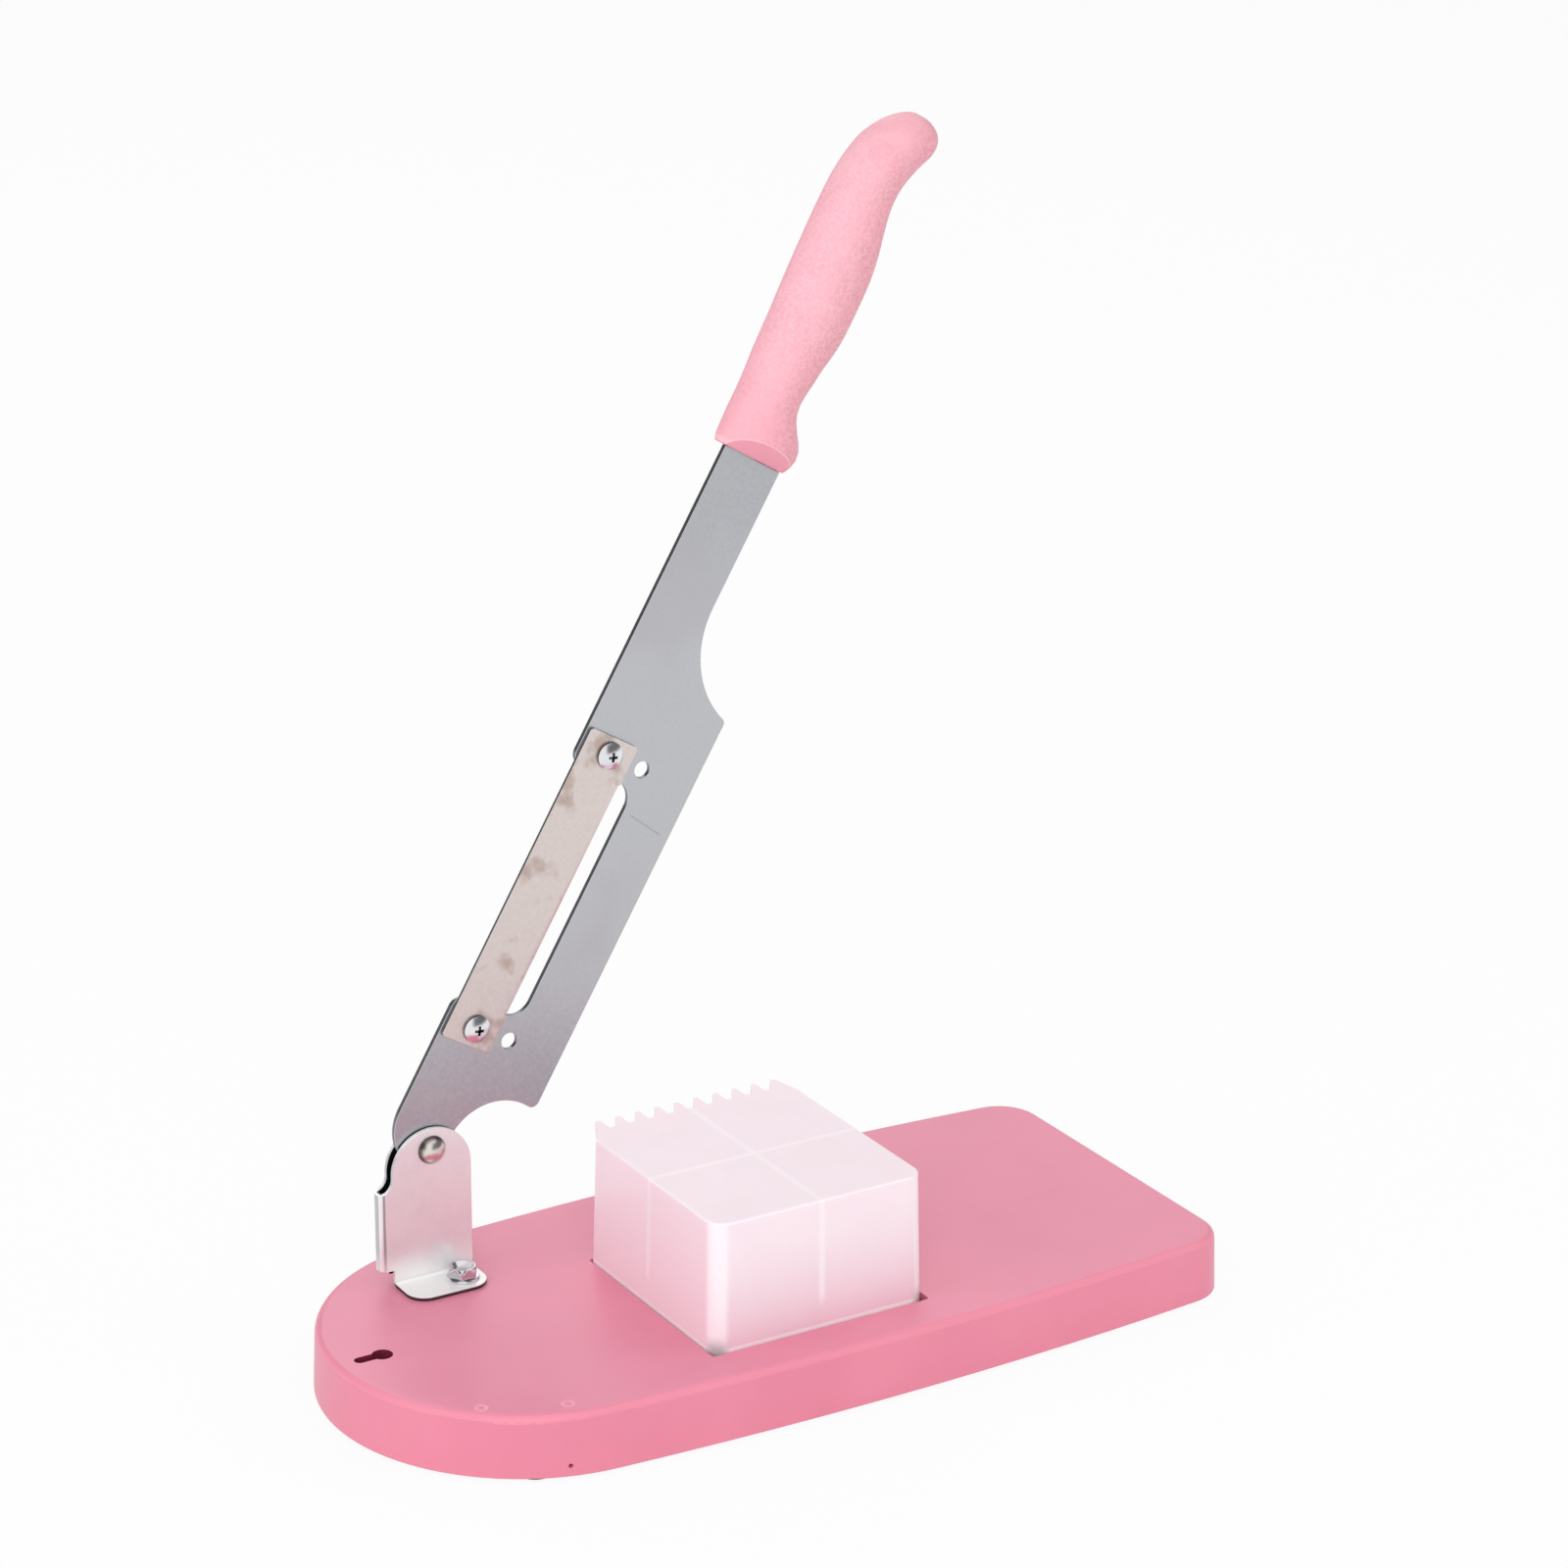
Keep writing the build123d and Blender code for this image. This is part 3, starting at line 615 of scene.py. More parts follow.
def make_steel(name, dark, light, stain, stain_share, stain_scale, roughness, lift):
    material, tree, shader = new_material(name, roughness, 1.0)
    [lines] = use_group(tree, arm_lines_group, Line_Scale=1300.0)
    clouds, grain = clouds_on(tree, stain_scale, 700.0)
    scratches = scratches_on(tree, 600.0, 0.09, 0.1)
    mottle = lines * 0.3 + grain * 0.7
    colour = blend_colours(mottle, dark, light)
    along, outward = place_on_arm(tree)
    colour = tint(colour, band(along, 45 * mm, 215 * mm, 25 * mm) * lift, 214, 215, 217)
    colour = blend_colours(between(clouds, 0.5, 1) * stain_share, colour, stain)
    colour = tint(colour, scratches * 0.3, 150, 148, 150)
    colour = tint(colour, long_scratch(along, outward) * 0.5, 140, 138, 142)
    face = abs(facing(tree)[1])
    # The cut edges are painted darker as shade.
    colour = tint(colour, below(face, 0.25, 0.55, 0.85), 118, 119, 126)
    # Painted highlight on the small round between edge and face.
    colour = tint(colour, band(face, 0.6, 0.93, 0.06) * 0.8, 246, 246, 248)
    feed(colour, shader.inputs["Base Color"])
    feed(between(mottle, 0, 1, roughness - 0.05, roughness + 0.06), shader.inputs["Roughness"])
    raise_surface(shader, mottle, 0.08, 0.04 * mm)
    return material


arm_steel = make_steel("arm_ground_steel", paint(176, 179, 184), paint(193, 195, 199),
                       paint(184, 179, 184), 0.4, 14.0, 0.38, 0.32)
strip_steel = make_steel("strip_worn_steel", paint(214, 203, 199), paint(227, 217, 213),
                         paint(172, 146, 132), 0.62, 85.0, 0.36, 0.0)
print(arm_steel.name, strip_steel.name)

# %% [markdown]
# ## Zinc plate and small metal
#
# The bracket is bright zinc plate, half metal and half pale haze, so it takes only a light tint
# from the pink board. The inside between its ears and the cut edges of its feet are painted dark
# as shade, and the round fold of its back is painted with dark upright stripes as a painted
# reflection of the studio. Its fasteners have the same plating: the rivet's dome is warmer and is
# painted darker towards its rim as shade, and the screw heads are painted dark as shade in the
# cross and round the foot of the dome.
# Each gets a cloudy plating pattern and small marks, because a perfectly even metal looks false.

# %% Make the plated metals
rivet_low, rivet_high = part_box("pivot_rivet")
rivet_reach = (rivet_high.x - rivet_low.x) / 2
ear_gap_half = 1.55 * mm
fold_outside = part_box("hinge_bracket")[0].x + 0.9 * mm


def plated_colour(tree, base, cloud, marks):
    """Cloudy plating with fine bright scratches."""
    clouds = clouds_on(tree, 70.0, 1600.0)[0]
    scratches = scratches_on(tree, 1200.0, 0.1, 0.12)
    colour = tint(blend_colours(clouds, base, cloud), scratches * marks, 250, 250, 252)
    return colour, clouds


def finish_plating(tree, shader, colour, clouds, relief=0.06):
    """Roughness that clouds a little about the shader's own, and fine lines from rolling."""
    roughness = shader.inputs["Roughness"]
    even = roughness.default_value
    feed(colour, shader.inputs["Base Color"])
    feed(between(clouds, 0, 1, even * 0.94, even * 1.1), roughness)
    [lines] = use_group(tree, sheet_lines_group, Line_Scale=1300.0)
    raise_surface(shader, lines, relief, 0.03 * mm)


def make_zinc_fastener():
    material, tree, shader = new_material("fastener_zinc_plate", 0.14, 1.0)
    colour, clouds = plated_colour(tree, paint(214, 214, 219), paint(230, 230, 234), 0.3)
    finish_plating(tree, shader, colour, clouds)
    return material


def make_zinc_sheet():
    material, tree, shader = new_material("bracket_zinc_plate", 0.3, 0.5)
    clouds, grain = clouds_on(tree, 60.0, 900.0)
    mottle = clouds * 0.6 + grain * 0.4
    colour = blend_colours(mottle, paint(233, 232, 233), paint(242, 241, 242))
    x, y, z = place_of(tree)
    x_face, _, z_face = facing(tree)
    outward = x_face * -1.0
    # Painted reflection: dark upright stripes on the round fold.
    reflection_stripes = band(outward, 0.28, 0.56, 0.06) + between(outward, 0.86, 0.92, 0.0, 0.75)
    colour = tint(colour, reflection_stripes * 0.8, 140, 140, 148)
    near_foot = below(z, board_high.z + 3 * mm, board_high.z + 15 * mm, 0.7)
    haze = highest(near_foot, between(z_face, 0.3, 0.8))
    colour = tint(colour, haze, 252, 252, 251)
    feed(between(haze, 0, 1, 0.5, 0.22), shader.inputs["Metallic"])
    # Painted shade between the ears.
    ear_gap_shade = (below(abs(y - pivot.y), ear_gap_half, ear_gap_half + 0.1 * mm)
                    * between(x, fold_outside, fold_outside + 0.3 * mm))
    colour = tint(colour, ear_gap_shade, 26, 26, 30)
    # Painted shade on the cut edges of the feet.
    foot_edge_shade = (below(z, board_high.z + 1.1 * mm, board_high.z + 1.5 * mm)
                * below(abs(z_face), 0.35, 0.7))
    colour = tint(colour, foot_edge_shade, 60, 48, 54)
    finish_plating(tree, shader, colour, clouds, 0.01)
    return material


def make_rivet_metal():
    """Domes painted darker towards their rims, as shade where the ears stand close."""
    material, tree, shader = new_material("rivet_polished_metal", 0.3, 1.0)
    colour, clouds = plated_colour(tree, paint(224, 217, 211), paint(234, 228, 223), 0.1)
    x, _, z = place_of(tree)
    reach = reach_from(x, z, pivot.x, pivot.z)
    # Painted shade towards the dome's rim.
    rim = between(reach, rivet_reach * 0.7, rivet_reach * 0.95, 0.0, 0.92)
    finish_plating(tree, shader, tint(colour, rim, 92, 74, 74), clouds)
    return material


def make_screw_metal():
    """Bright heads, painted dark as shade in the cross and round the foot of the dome."""
    material, tree, shader = new_material("screw_bright_metal", 0.24, 1.0)
    colour, clouds = plated_colour(tree, paint(226, 226, 230), paint(238, 238, 241), 0.2)
    # Painted shade on the steep walls of the cross and the dome's foot.
    steep_shade = below(abs(facing(tree)[1]), 0.3, 0.62, 0.85)
    finish_plating(tree, shader, tint(colour, steep_shade, 64, 62, 66), clouds)
    return material


zinc_sheet = make_zinc_sheet()
zinc_fastener = make_zinc_fastener()
rivet_metal = make_rivet_metal()
screw_metal = make_screw_metal()
print(zinc_sheet.name, zinc_fastener.name, rivet_metal.name, screw_metal.name)

# %% [markdown]
# ## Rubber and nylon
#
# The feet are dull dark rubber with a fine, slightly dusty grain. The two thin washers inside the
# hinge are off-white nylon. Nobody sees much of either, but a part is turned over by whoever
# picks it up.


# %% Make the rubber and the nylon
def make_dull(name, dark, light, roughness, relief):
    material, tree, shader = new_material(name, roughness)
    clouds, grain = clouds_on(tree, 160.0, 2200.0)
    feed(blend_colours(clouds, dark, light), shader.inputs["Base Color"])
    raise_surface(shader, grain, relief, 0.1 * mm)
    return material


foot_rubber = make_dull("foot_dull_rubber", paint(52, 40, 42), paint(74, 58, 60), 0.75, 0.3)
washer_nylon = make_dull("washer_nylon", paint(214, 212, 205), paint(226, 225, 219), 0.45, 0.1)
print(foot_rubber.name, washer_nylon.name)

# %% [markdown]
# ## Dressing the frame's own nodes
#
# Every node of the frame names the slot that its finish belongs to. So one table from slot to
# finish dresses all the nodes, and the pieces modelled by hand below take theirs from it too.

# %% Dress the frame's nodes
finish_of = {
    "board_plastic": board_plastic,
    "handle_plastic": grip_plastic,
    "pusher_plastic": pusher_plastic,
    "arm_steel": arm_steel,
    "strip_steel": strip_steel,
    "zinc_sheet": zinc_sheet,
    "zinc_fastener": zinc_fastener,
    "screw_steel": screw_metal,
    "bright_rivet": rivet_metal,
    "foot_rubber": foot_rubber,
    "nylon_washer": washer_nylon,
}
for name, node in nodes.items():
    node.data.materials.clear()
    node.data.materials.append(finish_of[slot_of[name]])
print("dressed", len(nodes), "nodes")

# %% [markdown]
# ## Helpers for modelling by hand
#
# Modelling by hand means: add a primitive, go into edit mode, pick some edges or faces, and push
# them with an operator. An operator acts on everything that is selected, so each step first
# deselects all and then picks in code, by place or by normal. Finished pieces lie in their mesh,
# with the object itself at the origin, and ride on the body that carries them.


# %% Write the modelling helpers
def start_clean():
    """Back to object mode, with nothing selected."""
    if bpy.context.object and bpy.context.object.mode != "OBJECT":
        bpy.ops.object.mode_set(mode="OBJECT")
    bpy.ops.object.select_all(action="DESELECT")


def hold(piece):
    """Make a piece the only one selected."""
    start_clean()
    piece.select_set(True)
    bpy.context.view_layer.objects.active = piece


def pick(piece, kind, test):
    """In edit mode, select the verts, edges or faces that pass a test, and nothing else."""
    bpy.ops.mesh.select_mode(type={"verts": "VERT", "edges": "EDGE", "faces": "FACE"}[kind])
    bpy.ops.mesh.select_all(action="DESELECT")
    shape = bmesh.from_edit_mesh(piece.data)
    for part in getattr(shape, kind):
        if test(part):
            part.select_set(True)
    shape.select_flush_mode()
    bmesh.update_edit_mesh(piece.data)


def apply_modifier(piece, kind, **values):
    hold(piece)
    modifier = piece.modifiers.new(kind.lower(), kind)
    for name, value in values.items():
        setattr(modifier, name, value)
    bpy.ops.object.modifier_apply(modifier=modifier.name)


def finish_piece(piece, node, place=None, smooth_angle=radians(40)):
    """Put a piece in its place, shade it, give it its finish and let it stand for a node."""
    hold(piece)
    if place is not None:
        piece.data.transform(place)
    bpy.ops.object.shade_smooth_by_angle(angle=smooth_angle)
    piece.data.materials.clear()
    piece.data.materials.append(finish_of[slot_of[node]])
    body = next(name for name, members in frame["record"]["behaviour"]["bodies"].items()
                if node in members)
    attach(piece, body)
    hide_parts(node)
    print(piece.name, "stands for", node, "with", len(piece.data.polygons), "faces")


print("modelling helpers ready")

# %% [markdown]
# ## Softened edges on the sheet metal and the box
#
# No real sheet has a perfectly sharp edge: punching and deburring leave a small round, and that
# round is what catches the light. The frame's shapes are right but sharp, so each is copied, its
# loose triangles are merged, its flat faces are joined again, and a narrow bevel goes on every
# sharp edge. On the pusher only the teeth get one, because its other edges are round already.
# Weighted normals keep the large faces flat to the eye.


# %% Soften the sheet metal and the box
def merged_copy(node):
    """A copy of a node with its triangles merged and its flat faces joined again."""
    piece = bpy.data.objects.new(f"{node}_softened", nodes[node].data.copy())
    bpy.context.scene.collection.objects.link(piece)
    hold(piece)
    bpy.ops.mesh.customdata_custom_splitnormals_clear()
    bpy.ops.object.mode_set(mode="EDIT")
    bpy.ops.mesh.select_all(action="SELECT")
    bpy.ops.mesh.remove_doubles(threshold=0.001 * mm)
    bpy.ops.mesh.dissolve_limited(angle_limit=radians(1))
    bpy.ops.mesh.mark_sharp(clear=True)
    bpy.ops.object.mode_set(mode="OBJECT")
    return piece


def finish_softened(piece, node):
    finish_piece(piece, node, smooth_angle=radians(60))
    apply_modifier(piece, "WEIGHTED_NORMAL", weight=80, keep_sharp=True)


def soften_sheet(node, width):
    piece = merged_copy(node)
    apply_modifier(piece, "BEVEL", width=width, segments=2, limit_method="ANGLE",
                   angle_limit=sharp_angle, use_clamp_overlap=False)
    finish_softened(piece, node)


def soften_teeth():
    piece = merged_copy("pusher_box")
    hold(piece)
    bpy.ops.object.mode_set(mode="EDIT")
    pick(piece, "edges", lambda edge: edge.is_manifold and edge.calc_face_angle() > sharp_angle
         and min(vertex.co.y for vertex in edge.verts) > pusher_high.y - tooth_zone)
    bpy.ops.mesh.bevel(offset=tooth_round, segments=3, affect="EDGES", clamp_overlap=True)
    bpy.ops.object.mode_set(mode="OBJECT")
    finish_softened(piece, "pusher_box")


sharp_angle = radians(35)
tooth_zone = 6.7 * mm
tooth_round = 0.5 * mm
edge_rounds = {
    "hinge_bracket": 0.22 * mm,
    "blade_arm": 0.22 * mm,
    "peeler_blade": 0.12 * mm,
}
for name, width in edge_rounds.items():
    soften_sheet(name, width)
soften_teeth()

# %% [markdown]
# ## The grip
#
# The grip is a long moulding whose section changes all the way: square-shouldered where the steel
# enters it, waisted for the first finger, full in the palm, and hooked at the pommel so that the
# hand can't slip off. It is built as a stack of rings. A circle is extruded ring by ring along the
# arm, and each ring is shifted and scaled to the width measured there on the frame's plain grip.
# Near the pommel the rings lie closer and what they measure is eased, so that the hook stays round.

# %% Measure the plain grip
first_ring = 0.05 * mm
ring_spacing = 2.8 * mm
tip_length = 14 * mm
easing_length = 70 * mm
easing_passes = 8


def measured_sections(node, stations):
    """Lowest and highest v, and the half thickness, where planes across the arm cut a node."""
    sections = []
    for station in stations:
        shape = bmesh.new()
        shape.from_mesh(nodes[node].data)
        shape.transform(arm_place.inverted())
        bmesh.ops.remove_doubles(shape, verts=shape.verts, dist=0.001 * mm)
        parts = [*shape.verts, *shape.edges, *shape.faces]
        cut = bmesh.ops.bisect_plane(shape, geom=parts,
                                     plane_co=(station, 0, 0), plane_no=(1, 0, 0))
        ring = [part.co for part in cut["geom_cut"] if isinstance(part, bmesh.types.BMVert)]
        sections.append((station, min(point.z for point in ring), max(point.z for point in ring),
                         max(abs(point.y) for point in ring)))
        shape.free()
    return sections


def eased_sections(sections):
    """Draw each section towards its two neighbours, more so the nearer it is to the pommel."""
    for _ in range(easing_passes):
        eased = [sections[0]]
        for before, section, after in zip(sections, sections[1:], sections[2:]):
            nearness = (section[0] - grip_end + easing_length) / (easing_length / 2)
            share = 0.5 * min(max(nearness, 0), 1)
            measures = zip(before[1:], section[1:], after[1:])
            eased.append((section[0], *[here + share * ((one + other) / 2 - here)
                                        for one, here, other in measures]))
        sections = [*eased, sections[-1]]
    return sections


grip_corners = [arm_place.inverted() @ vertex.co for vertex in nodes["handle"].data.vertices]
grip_start = min(point.x for point in grip_corners)
grip_end = max(point.x for point in grip_corners)
stations = [grip_start + first_ring]
while stations[-1] + ring_spacing < grip_end - tip_length:
    stations.append(stations[-1] + ring_spacing)
stations += [grip_end - tip_length * (1 - cos(radians(angle))) for angle in range(88, 4, -7)]
grip_sections = eased_sections(measured_sections("handle", stations))
print(len(grip_sections), "rings from", round(grip_start, 4), "to", round(grip_end, 4))

# %% [markdown]
# ## Drawing the grip ring by ring
#
# The sections are fuller than an ellipse, because the real grip has broad, nearly flat faces. The
# facets at the lower end are cut last, as two planes through the finished form, and a small bevel
# takes the sharpness off their borders.

# %% Model the grip
grip_sides = 40
grip_fullness = 2.4
grip_edge_round = 0.45 * mm
facet_lean = radians(42)
facet_start = 3.6 * mm
facet_reach = 11.5 * mm
facet_taper = 0.09


def shaped(value):
    """A sine or cosine pushed outwards, which turns an ellipse into a fuller section."""
    return (abs(value) ** (2 / grip_fullness)) * (1 if value >= 0 else -1)


def full_thickness(station, measured):
    """The facets hide the real thickness of the lower end, so it is carried on from there."""
    beyond = facet_reach - (station - grip_start)
    whole = next(half for at, _, _, half in grip_sections if at - grip_start > facet_reach)
    return measured if beyond <= 0 else whole - facet_taper * beyond


def model_grip():
    start_clean()
    bpy.ops.mesh.primitive_circle_add(vertices=grip_sides, radius=1, fill_type="NGON",
                                      location=(0, 0, 0))
    grip = bpy.context.object
    grip.name = "moulded_grip"
    bpy.ops.object.mode_set(mode="EDIT")
    station, low, high, half = grip_sections[0]
    half = full_thickness(station, half)
    shape = bmesh.from_edit_mesh(grip.data)
    for vertex in shape.verts:
        along, across = vertex.co.x, vertex.co.y
        vertex.co = (station, half * shaped(across),
                     (low + high) / 2 + (high - low) / 2 * shaped(along))
    bmesh.update_edit_mesh(grip.data)
    bpy.ops.mesh.select_all(action="SELECT")
    for next_station, next_low, next_high, measured in grip_sections[1:]:
        next_half = full_thickness(next_station, measured)
        shift = (next_station - station, 0, (next_low + next_high - low - high) / 2)
        bpy.ops.mesh.extrude_region_move(TRANSFORM_OT_translate={"value": shift})
        bpy.ops.transform.resize(
            value=(1, next_half / half, (next_high - next_low) / (high - low)),
            center_override=(next_station, 0, (next_low + next_high) / 2))
        station, low, high, half = next_station, next_low, next_high, next_half
    bpy.ops.mesh.select_all(action="SELECT")
    bpy.ops.mesh.normals_make_consistent(inside=False)
    return grip


def cut_facets():
    """Two slanted facets leave the grip's lower end nearly as thin as the steel in it."""
    for side in (-1, 1):
        bpy.ops.mesh.select_all(action="SELECT")
        bpy.ops.mesh.bisect(
            plane_co=(grip_start, side * facet_start, 0),
            plane_no=(-sin(facet_lean), side * cos(facet_lean), 0),
            use_fill=True, clear_outer=True, clear_inner=False)
    bpy.ops.object.mode_set(mode="OBJECT")


grip = model_grip()
cut_facets()
apply_modifier(grip, "BEVEL", width=grip_edge_round, segments=3, limit_method="ANGLE",
               angle_limit=radians(28), use_clamp_overlap=True)
finish_piece(grip, "handle", arm_place, radians(60))

# %% [markdown]
# ## Turned and pressed hardware
#
# Rivets, screws, bolts, nuts, washers and feet all start as turned shapes. One helper stands in
# for the lathe: it takes a circle and extrudes it through a list of rings, each a height and a
# radius. It selects by vertex, because a bare circle has no face that could be extruded. A hexagon
# is then cut as on the real bar, by drawing in whatever lies outside its flats, and that leaves
# the curved chamfer lines that hexagon heads have.


# %% Write the lathe
def turned_piece(name, rings, sides=48, hollow=False):
    """Rings are (height, radius). A hollow piece comes back to its first ring and has no ends."""
    start_clean()
    height, radius = rings[0]
    bpy.ops.mesh.primitive_circle_add(vertices=sides, radius=radius,
                                      fill_type="NOTHING" if hollow else "NGON", location=(0, 0, 0))
    piece = bpy.context.object
    piece.name = name
    piece.data.transform(Matrix.Translation((0, 0, height)))
    bpy.ops.object.mode_set(mode="EDIT")
    bpy.ops.mesh.select_mode(type="VERT")
    bpy.ops.mesh.select_all(action="SELECT")
    following = rings[1:] + rings[:1] if hollow else rings[1:]
    for next_height, next_radius in following:
        bpy.ops.mesh.extrude_region_move(
            TRANSFORM_OT_translate={"value": (0, 0, next_height - height)})
        scale = next_radius / radius
        bpy.ops.transform.resize(value=(scale, scale, 1), center_override=(0, 0, next_height))
        height, radius = next_height, next_radius
    bpy.ops.mesh.select_all(action="SELECT")
    bpy.ops.mesh.remove_doubles(threshold=0.001 * mm)
    bpy.ops.mesh.normals_make_consistent(inside=False)
    bpy.ops.object.mode_set(mode="OBJECT")
    return piece


def cut_hexagon(piece, low, high, across):
    """Draw everything between two heights in to a hexagon of this width across its flats."""
    sixth = pi / 3
    for vertex in piece.data.vertices:
        x, y, z = vertex.co
        if low <= z <= high:
            angle = atan2(y, x)
            off_flat = angle - (round_down(angle / sixth) + 0.5) * sixth
            limit = across / 2 / cos(off_flat)
            reach = (x * x + y * y) ** 0.5
            if reach > limit:
                vertex.co = (x * limit / reach, y * limit / reach, z)


def dome_rings(radius, height, rim, steps=8):
    """A domed head on a short upright rim, as rings from its edge to near its middle."""
    rise = height - rim
    ball = (radius * radius + rise * rise) / (2 * rise)
    edge_angle = atan2(radius, ball - rise)
    rings = []
    for step in range(steps):
        angle = edge_angle * (1 - step / steps)
        rings.append((height - ball + ball * cos(angle), ball * sin(angle)))
    return rings


def thread_rings(low, high, radius, pitch, depth):
    """Ridges along a shank. The real thread is a helix, but at this size rings look the same."""
    rings = []
    height = low
    while height + pitch < high:
        rings += [(height, radius - depth), (height + pitch * 0.45, radius),
                  (height + pitch * 0.6, radius)]
        height += pitch
    return rings


def standing(node):
    """For a round piece that stands upright: its foot's place, its radius and its height."""
    low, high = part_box(node)
    middle = (low + high) / 2
    return Matrix.Translation((middle.x, middle.y, low.z)), (high.x - low.x) / 2, high.z - low.z


print("lathe ready")

# %% [markdown]
# ## The pivot rivet
#
# The rivet is one pin whose two ends were pressed into domes over the bracket's ears. It is turned
# lying along its own axis and then laid across the ears, with a dome in front and one behind.

# %% Model the rivet
ear_half = 3.1 * mm
rivet_radius = 2.5 * mm
rivet_rise = (rivet_high.y - rivet_low.y) / 2 - ear_half
front_dome = [(ear_half, rivet_reach - 0.15 * mm), (ear_half + 0.15 * mm, rivet_reach)]
front_dome += [(ear_half + height, radius)
               for height, radius in dome_rings(rivet_reach - 0.05 * mm, rivet_rise, 0.45 * mm, 10)]
rear_dome = [(-height, radius) for height, radius in reversed(front_dome)]
shank = [(-ear_half, rivet_radius), (ear_half, rivet_radius)]
rivet = turned_piece("pressed_rivet", rear_dome + shank + front_dome)
axis_to_front = Matrix.Translation(pivot) @ Matrix.Rotation(pi / 2, 4, "X")
finish_piece(rivet, "pivot_rivet", axis_to_front, radians(50))

# %% [markdown]
# ## The strip's screws and their nuts
#
# Two machine screws with pan heads clamp the strip. The head is turned with a short rim under its
# dome, and the cross for the driver is cut out of it with two tapered bars. The nuts behind are
# hexagons with a chamfer on both faces.

# %% Model the screws
strip_front = -2.2 * mm
screw_head_radius = 4.75 * mm
screw_head_rise = 2.6 * mm
screw_radius = 2.5 * mm
thread_pitch = 0.8 * mm
nut_across = 8 * mm
nut_bore = screw_radius + 0.05 * mm
cross_turn = radians(24)


def cross_bar(turn_angle):
    """A bar that tapers towards its tip, for cutting one arm of the cross."""
    start_clean()
    bpy.ops.mesh.primitive_cube_add(size=1, location=(0, 0, 0))
    bar = bpy.context.object
    bar.data.transform(Matrix.Translation((0, 0, screw_head_rise))
                       @ Matrix.Diagonal((5.4 * mm, 1.25 * mm, 3.8 * mm, 1)))
    bpy.ops.object.mode_set(mode="EDIT")
    pick(bar, "faces", lambda face: face.normal.z < -0.9)
    bpy.ops.transform.resize(value=(0.3, 0.6, 1), center_override=(0, 0, screw_head_rise))
    bpy.ops.object.mode_set(mode="OBJECT")
    bar.data.transform(Matrix.Rotation(turn_angle, 4, "Z"))
    return bar


def model_screw(name, node):
    end = pivot.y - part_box(node)[1].y + strip_front
    rings = [(end, screw_radius - 0.5 * mm)]
    rings += thread_rings(end + 0.3 * mm, -0.4 * mm, screw_radius, thread_pitch, 0.35 * mm)
    rings += [(0, screw_radius), (0, screw_head_radius - 0.2 * mm), (0.2 * mm, screw_head_radius)]
    rings += dome_rings(screw_head_radius - 0.05 * mm, screw_head_rise, 0.9 * mm)
    screw = turned_piece(name, rings)
    for turn_angle in (cross_turn, cross_turn + pi / 2):
        bar = cross_bar(turn_angle)
        apply_modifier(screw, "BOOLEAN", object=bar, operation="DIFFERENCE", solver="EXACT")
        bpy.data.objects.remove(bar)
    middle = along_arm(node)
    place = (arm_place @ Matrix.Translation((middle.x, strip_front, middle.z))
             @ Matrix.Rotation(pi / 2, 4, "X"))
    finish_piece(screw, node, place, radians(35))


def model_nut(name, node, height, place):
    """A hexagon nut standing on z = 0, with both ends of its bore opened out a little."""
    half = nut_across / 2
    corner = half / cos(pi / 6)
    mouth = nut_bore + 0.45 * mm
    rings = [(0.5 * mm, nut_bore), (0, mouth), (0, half - 0.25 * mm), (0.45 * mm, corner),
             (height - 0.45 * mm, corner), (height, half - 0.25 * mm), (height, mouth),
             (height - 0.5 * mm, nut_bore)]
    nut = turned_piece(name, rings, hollow=True)
    cut_hexagon(nut, -mm, height + mm, nut_across)
    finish_piece(nut, node, place, radians(30))


for end_name in ("lower", "upper"):
    model_screw(f"{end_name}_strip_screw", f"{end_name}_peeler_screw")
    nut_node = f"{end_name}_peeler_nut"
    nut_middle = along_arm(nut_node)
    nut_place = (arm_place @ Matrix.Translation((nut_middle.x, mm, nut_middle.z))
                 @ Matrix.Rotation(-pi / 2, 4, "X"))
    model_nut(f"{end_name}_strip_nut", nut_node, 4 * mm, nut_place)

# %% [markdown]
# ## The foot bolts, their washers and nuts
#
# Each foot of the bracket is held by a bolt with a hexagon head, a formed washer face under it and
# a dish pressed into its top. The dish is a shallow cone with a rounded floor, so it mirrors light
# and dark in turn. The nuts and washers sit up in pockets under the board.

# %% Model the foot bolts
flange_radius = 5.7 * mm
head_height = 4.5 * mm
head_across = 9.2 * mm
head_corner = head_across / 2 / cos(pi / 6)
dish = ((0, 3.85 * mm), (0.15 * mm, 3.6 * mm), (1.3 * mm, 2.6 * mm), (1.7 * mm, 1.6 * mm),
        (1.8 * mm, 0.4 * mm))
washer_round = 0.12 * mm


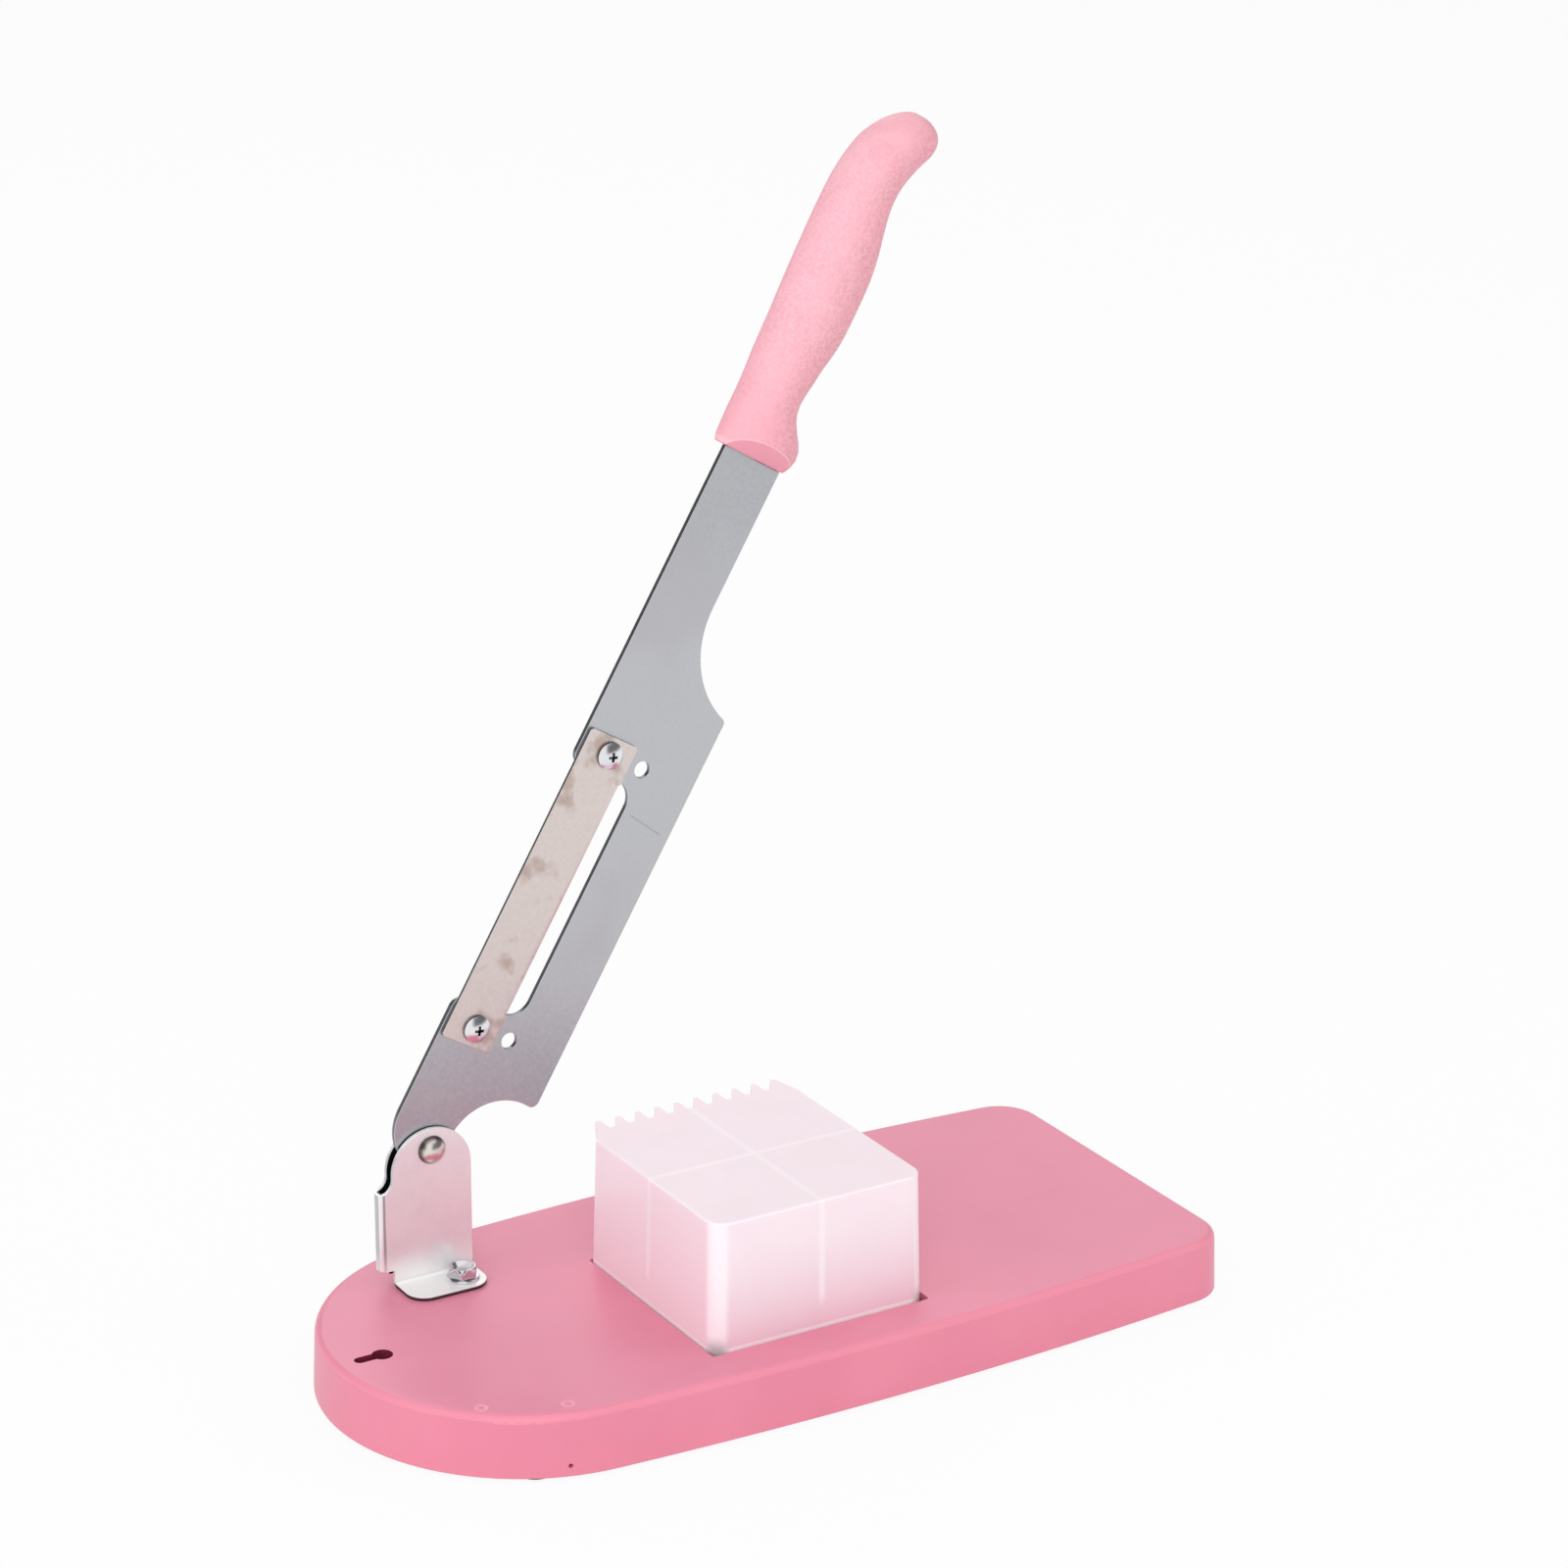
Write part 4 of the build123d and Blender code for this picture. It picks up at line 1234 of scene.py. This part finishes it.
def model_foot_bolt(name, node):
    low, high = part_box(node)
    middle = (low + high) / 2
    seat = high.z - head_height
    shank_end = low.z - seat
    rings = [(shank_end, screw_radius - 0.5 * mm)]
    rings += thread_rings(shank_end + 0.4 * mm, -6 * mm, screw_radius, thread_pitch, 0.3 * mm)
    rings += [(-6 * mm, screw_radius), (0, screw_radius), (0, flange_radius - 0.25 * mm),
              (0.12 * mm, flange_radius), (0.45 * mm, flange_radius),
              (0.62 * mm, flange_radius - 0.2 * mm), (0.95 * mm, head_corner + 0.05 * mm),
              (1.0 * mm, head_corner), (head_height - 0.9 * mm, head_corner),
              (head_height - 0.1 * mm, head_across / 2 - 0.15 * mm),
              (head_height, head_across / 2 - 0.4 * mm)]
    rings += [(head_height - depth, radius) for depth, radius in dish]
    bolt = turned_piece(name, rings)
    cut_hexagon(bolt, 0.97 * mm, head_height + mm, head_across)
    finish_piece(bolt, node, Matrix.Translation((middle.x, middle.y, seat)), radians(32))


def model_washer(name, node, bore):
    place, radius, height = standing(node)
    rings = [(0, bore), (0, radius - washer_round), (washer_round, radius),
             (height - washer_round, radius), (height, radius - washer_round), (height, bore)]
    washer = turned_piece(name, rings, hollow=True)
    finish_piece(washer, node, place, radians(50))


for side in ("front", "rear"):
    model_foot_bolt(f"{side}_flange_bolt", f"{side}_foot_bolt")
    model_washer(f"{side}_bolt_washer", f"{side}_foot_washer", screw_radius + 0.25 * mm)
    nut_place, _, nut_height = standing(f"{side}_foot_nut")
    model_nut(f"{side}_bolt_nut", f"{side}_foot_nut", nut_height, nut_place)

# %% [markdown]
# ## The rubber feet
#
# Four round feet are pressed into pockets under the board. Each has a rounded tread edge and a
# dimple in its sole, which is what keeps a wet board from sliding.


# %% Model the feet
def model_foot(name, node):
    place, radius, height = standing(node)
    rings = [(height, radius - 0.3 * mm), (height - 0.3 * mm, radius), (0.5 * mm, radius),
             (0.2 * mm, radius - 0.15 * mm), (0, radius - 0.5 * mm), (0, 3.0 * mm),
             (0.25 * mm, 2.7 * mm), (0.5 * mm, 1.6 * mm), (0.6 * mm, 0.3 * mm)]
    foot = turned_piece(name, rings)
    finish_piece(foot, node, place, radians(50))


for foot_node in [name for name in nodes if slot_of[name] == "foot_rubber"]:
    model_foot(f"{foot_node}_pad", foot_node)

# %% [markdown]
# ## Floor, backdrop and light
#
# The object stands on a plain white floor in even studio light. The floor is a real surface that
# takes a soft shadow, and it is lifted to white only for the camera, for reflections and through
# glass. Large soft lamps and an even sky give the plastics about the colour they are painted. Only
# the lamp at the back shows in reflections: the others would burn out the satin faces that mirror
# them. Two dark screens stand left and right of the camera, as in a real studio. Only mirrors see
# them, and they give the domes and bolt heads their dark accents.

# %% Make the floor and the light
white = (1, 1, 1, 1)
floor_lift = 0.92
sky_strength = 0.62
screen_darkness = 0.85
lamp_aim = Vector((0, 0, 0.1))


def seen_directly(tree):
    """1 for rays from the camera, from a mirror or through glass, and 0 for plain light."""
    path = add_node(tree, "ShaderNodeLightPath")
    return highest(*[Value(path, f"Is {ray} Ray") for ray in ("Camera", "Glossy", "Transmission")])


def make_floor():
    start_clean()
    bpy.ops.mesh.primitive_circle_add(vertices=96, radius=30, fill_type="NGON", location=(0, 0, 0))
    floor = bpy.context.object
    floor.name = "studio_floor"
    material = bpy.data.materials.new("floor_white")
    material.use_nodes = True
    tree = material.node_tree
    tree.nodes.clear()
    matt = add_node(tree, "ShaderNodeBsdfDiffuse", Color=(0.9, 0.9, 0.9, 1))
    lift = add_node(tree, "ShaderNodeEmission", Color=white, Strength=1.0)
    mixed = add_node(tree, "ShaderNodeMixShader")
    result = add_node(tree, "ShaderNodeOutputMaterial")
    feed(seen_directly(tree) * floor_lift, mixed.inputs[0])
    feed(Value(matt), mixed.inputs[1])
    feed(Value(lift), mixed.inputs[2])
    feed(Value(mixed), result.inputs["Surface"])
    floor.data.materials.append(material)


def make_sky():
    world = bpy.data.worlds.new("studio_sky")
    world.use_nodes = True
    bpy.context.scene.world = world
    tree = world.node_tree
    background = tree.nodes["Background"]
    background.inputs["Color"].default_value = white
    x, y, z = three_parts(Value(add_node(tree, "ShaderNodeTexCoord"), "Generated"))
    beside = between(abs(x * level.x + y * level.y), 0.3, 0.5)
    mirrored = Value(add_node(tree, "ShaderNodeLightPath"), "Is Glossy Ray")
    dark = beside * band(z, 0.1, 0.75, 0.06) * mirrored * screen_darkness
    bright = between(seen_directly(tree), 0, 1, sky_strength, 1.0)
    feed(bright - dark, background.inputs["Strength"])


def soft_lamp(name, place, width, power, mirrored=False):
    """A square lamp that faces the middle of the object, and whether surfaces mirror it."""
    lamp_data = bpy.data.lights.new(name, "AREA")
    lamp_data.shape = "SQUARE"
    lamp_data.size = width
    lamp_data.energy = power
    lamp = bpy.data.objects.new(name, lamp_data)
    bpy.context.scene.collection.objects.link(lamp)
    lamp.location = place
    lamp.rotation_euler = (lamp_aim - Vector(place)).to_track_quat("-Z", "Y").to_euler()
    lamp.visible_glossy = mirrored


make_floor()
make_sky()
soft_lamp("key_lamp", (-0.9, -1.6, 1.1), 1.2, 14)
soft_lamp("left_lamp", (-1.9, -0.1, 0.9), 1.2, 8.5)
soft_lamp("fill_lamp", (1.6, -0.9, 1.0), 1.2, 6)
soft_lamp("back_lamp", (0.5, 1.8, 1.6), 1.2, 5, mirrored=True)
bpy.context.scene.view_settings.view_transform = "Standard"
print("floor, sky and", len(bpy.data.lights), "lamps")
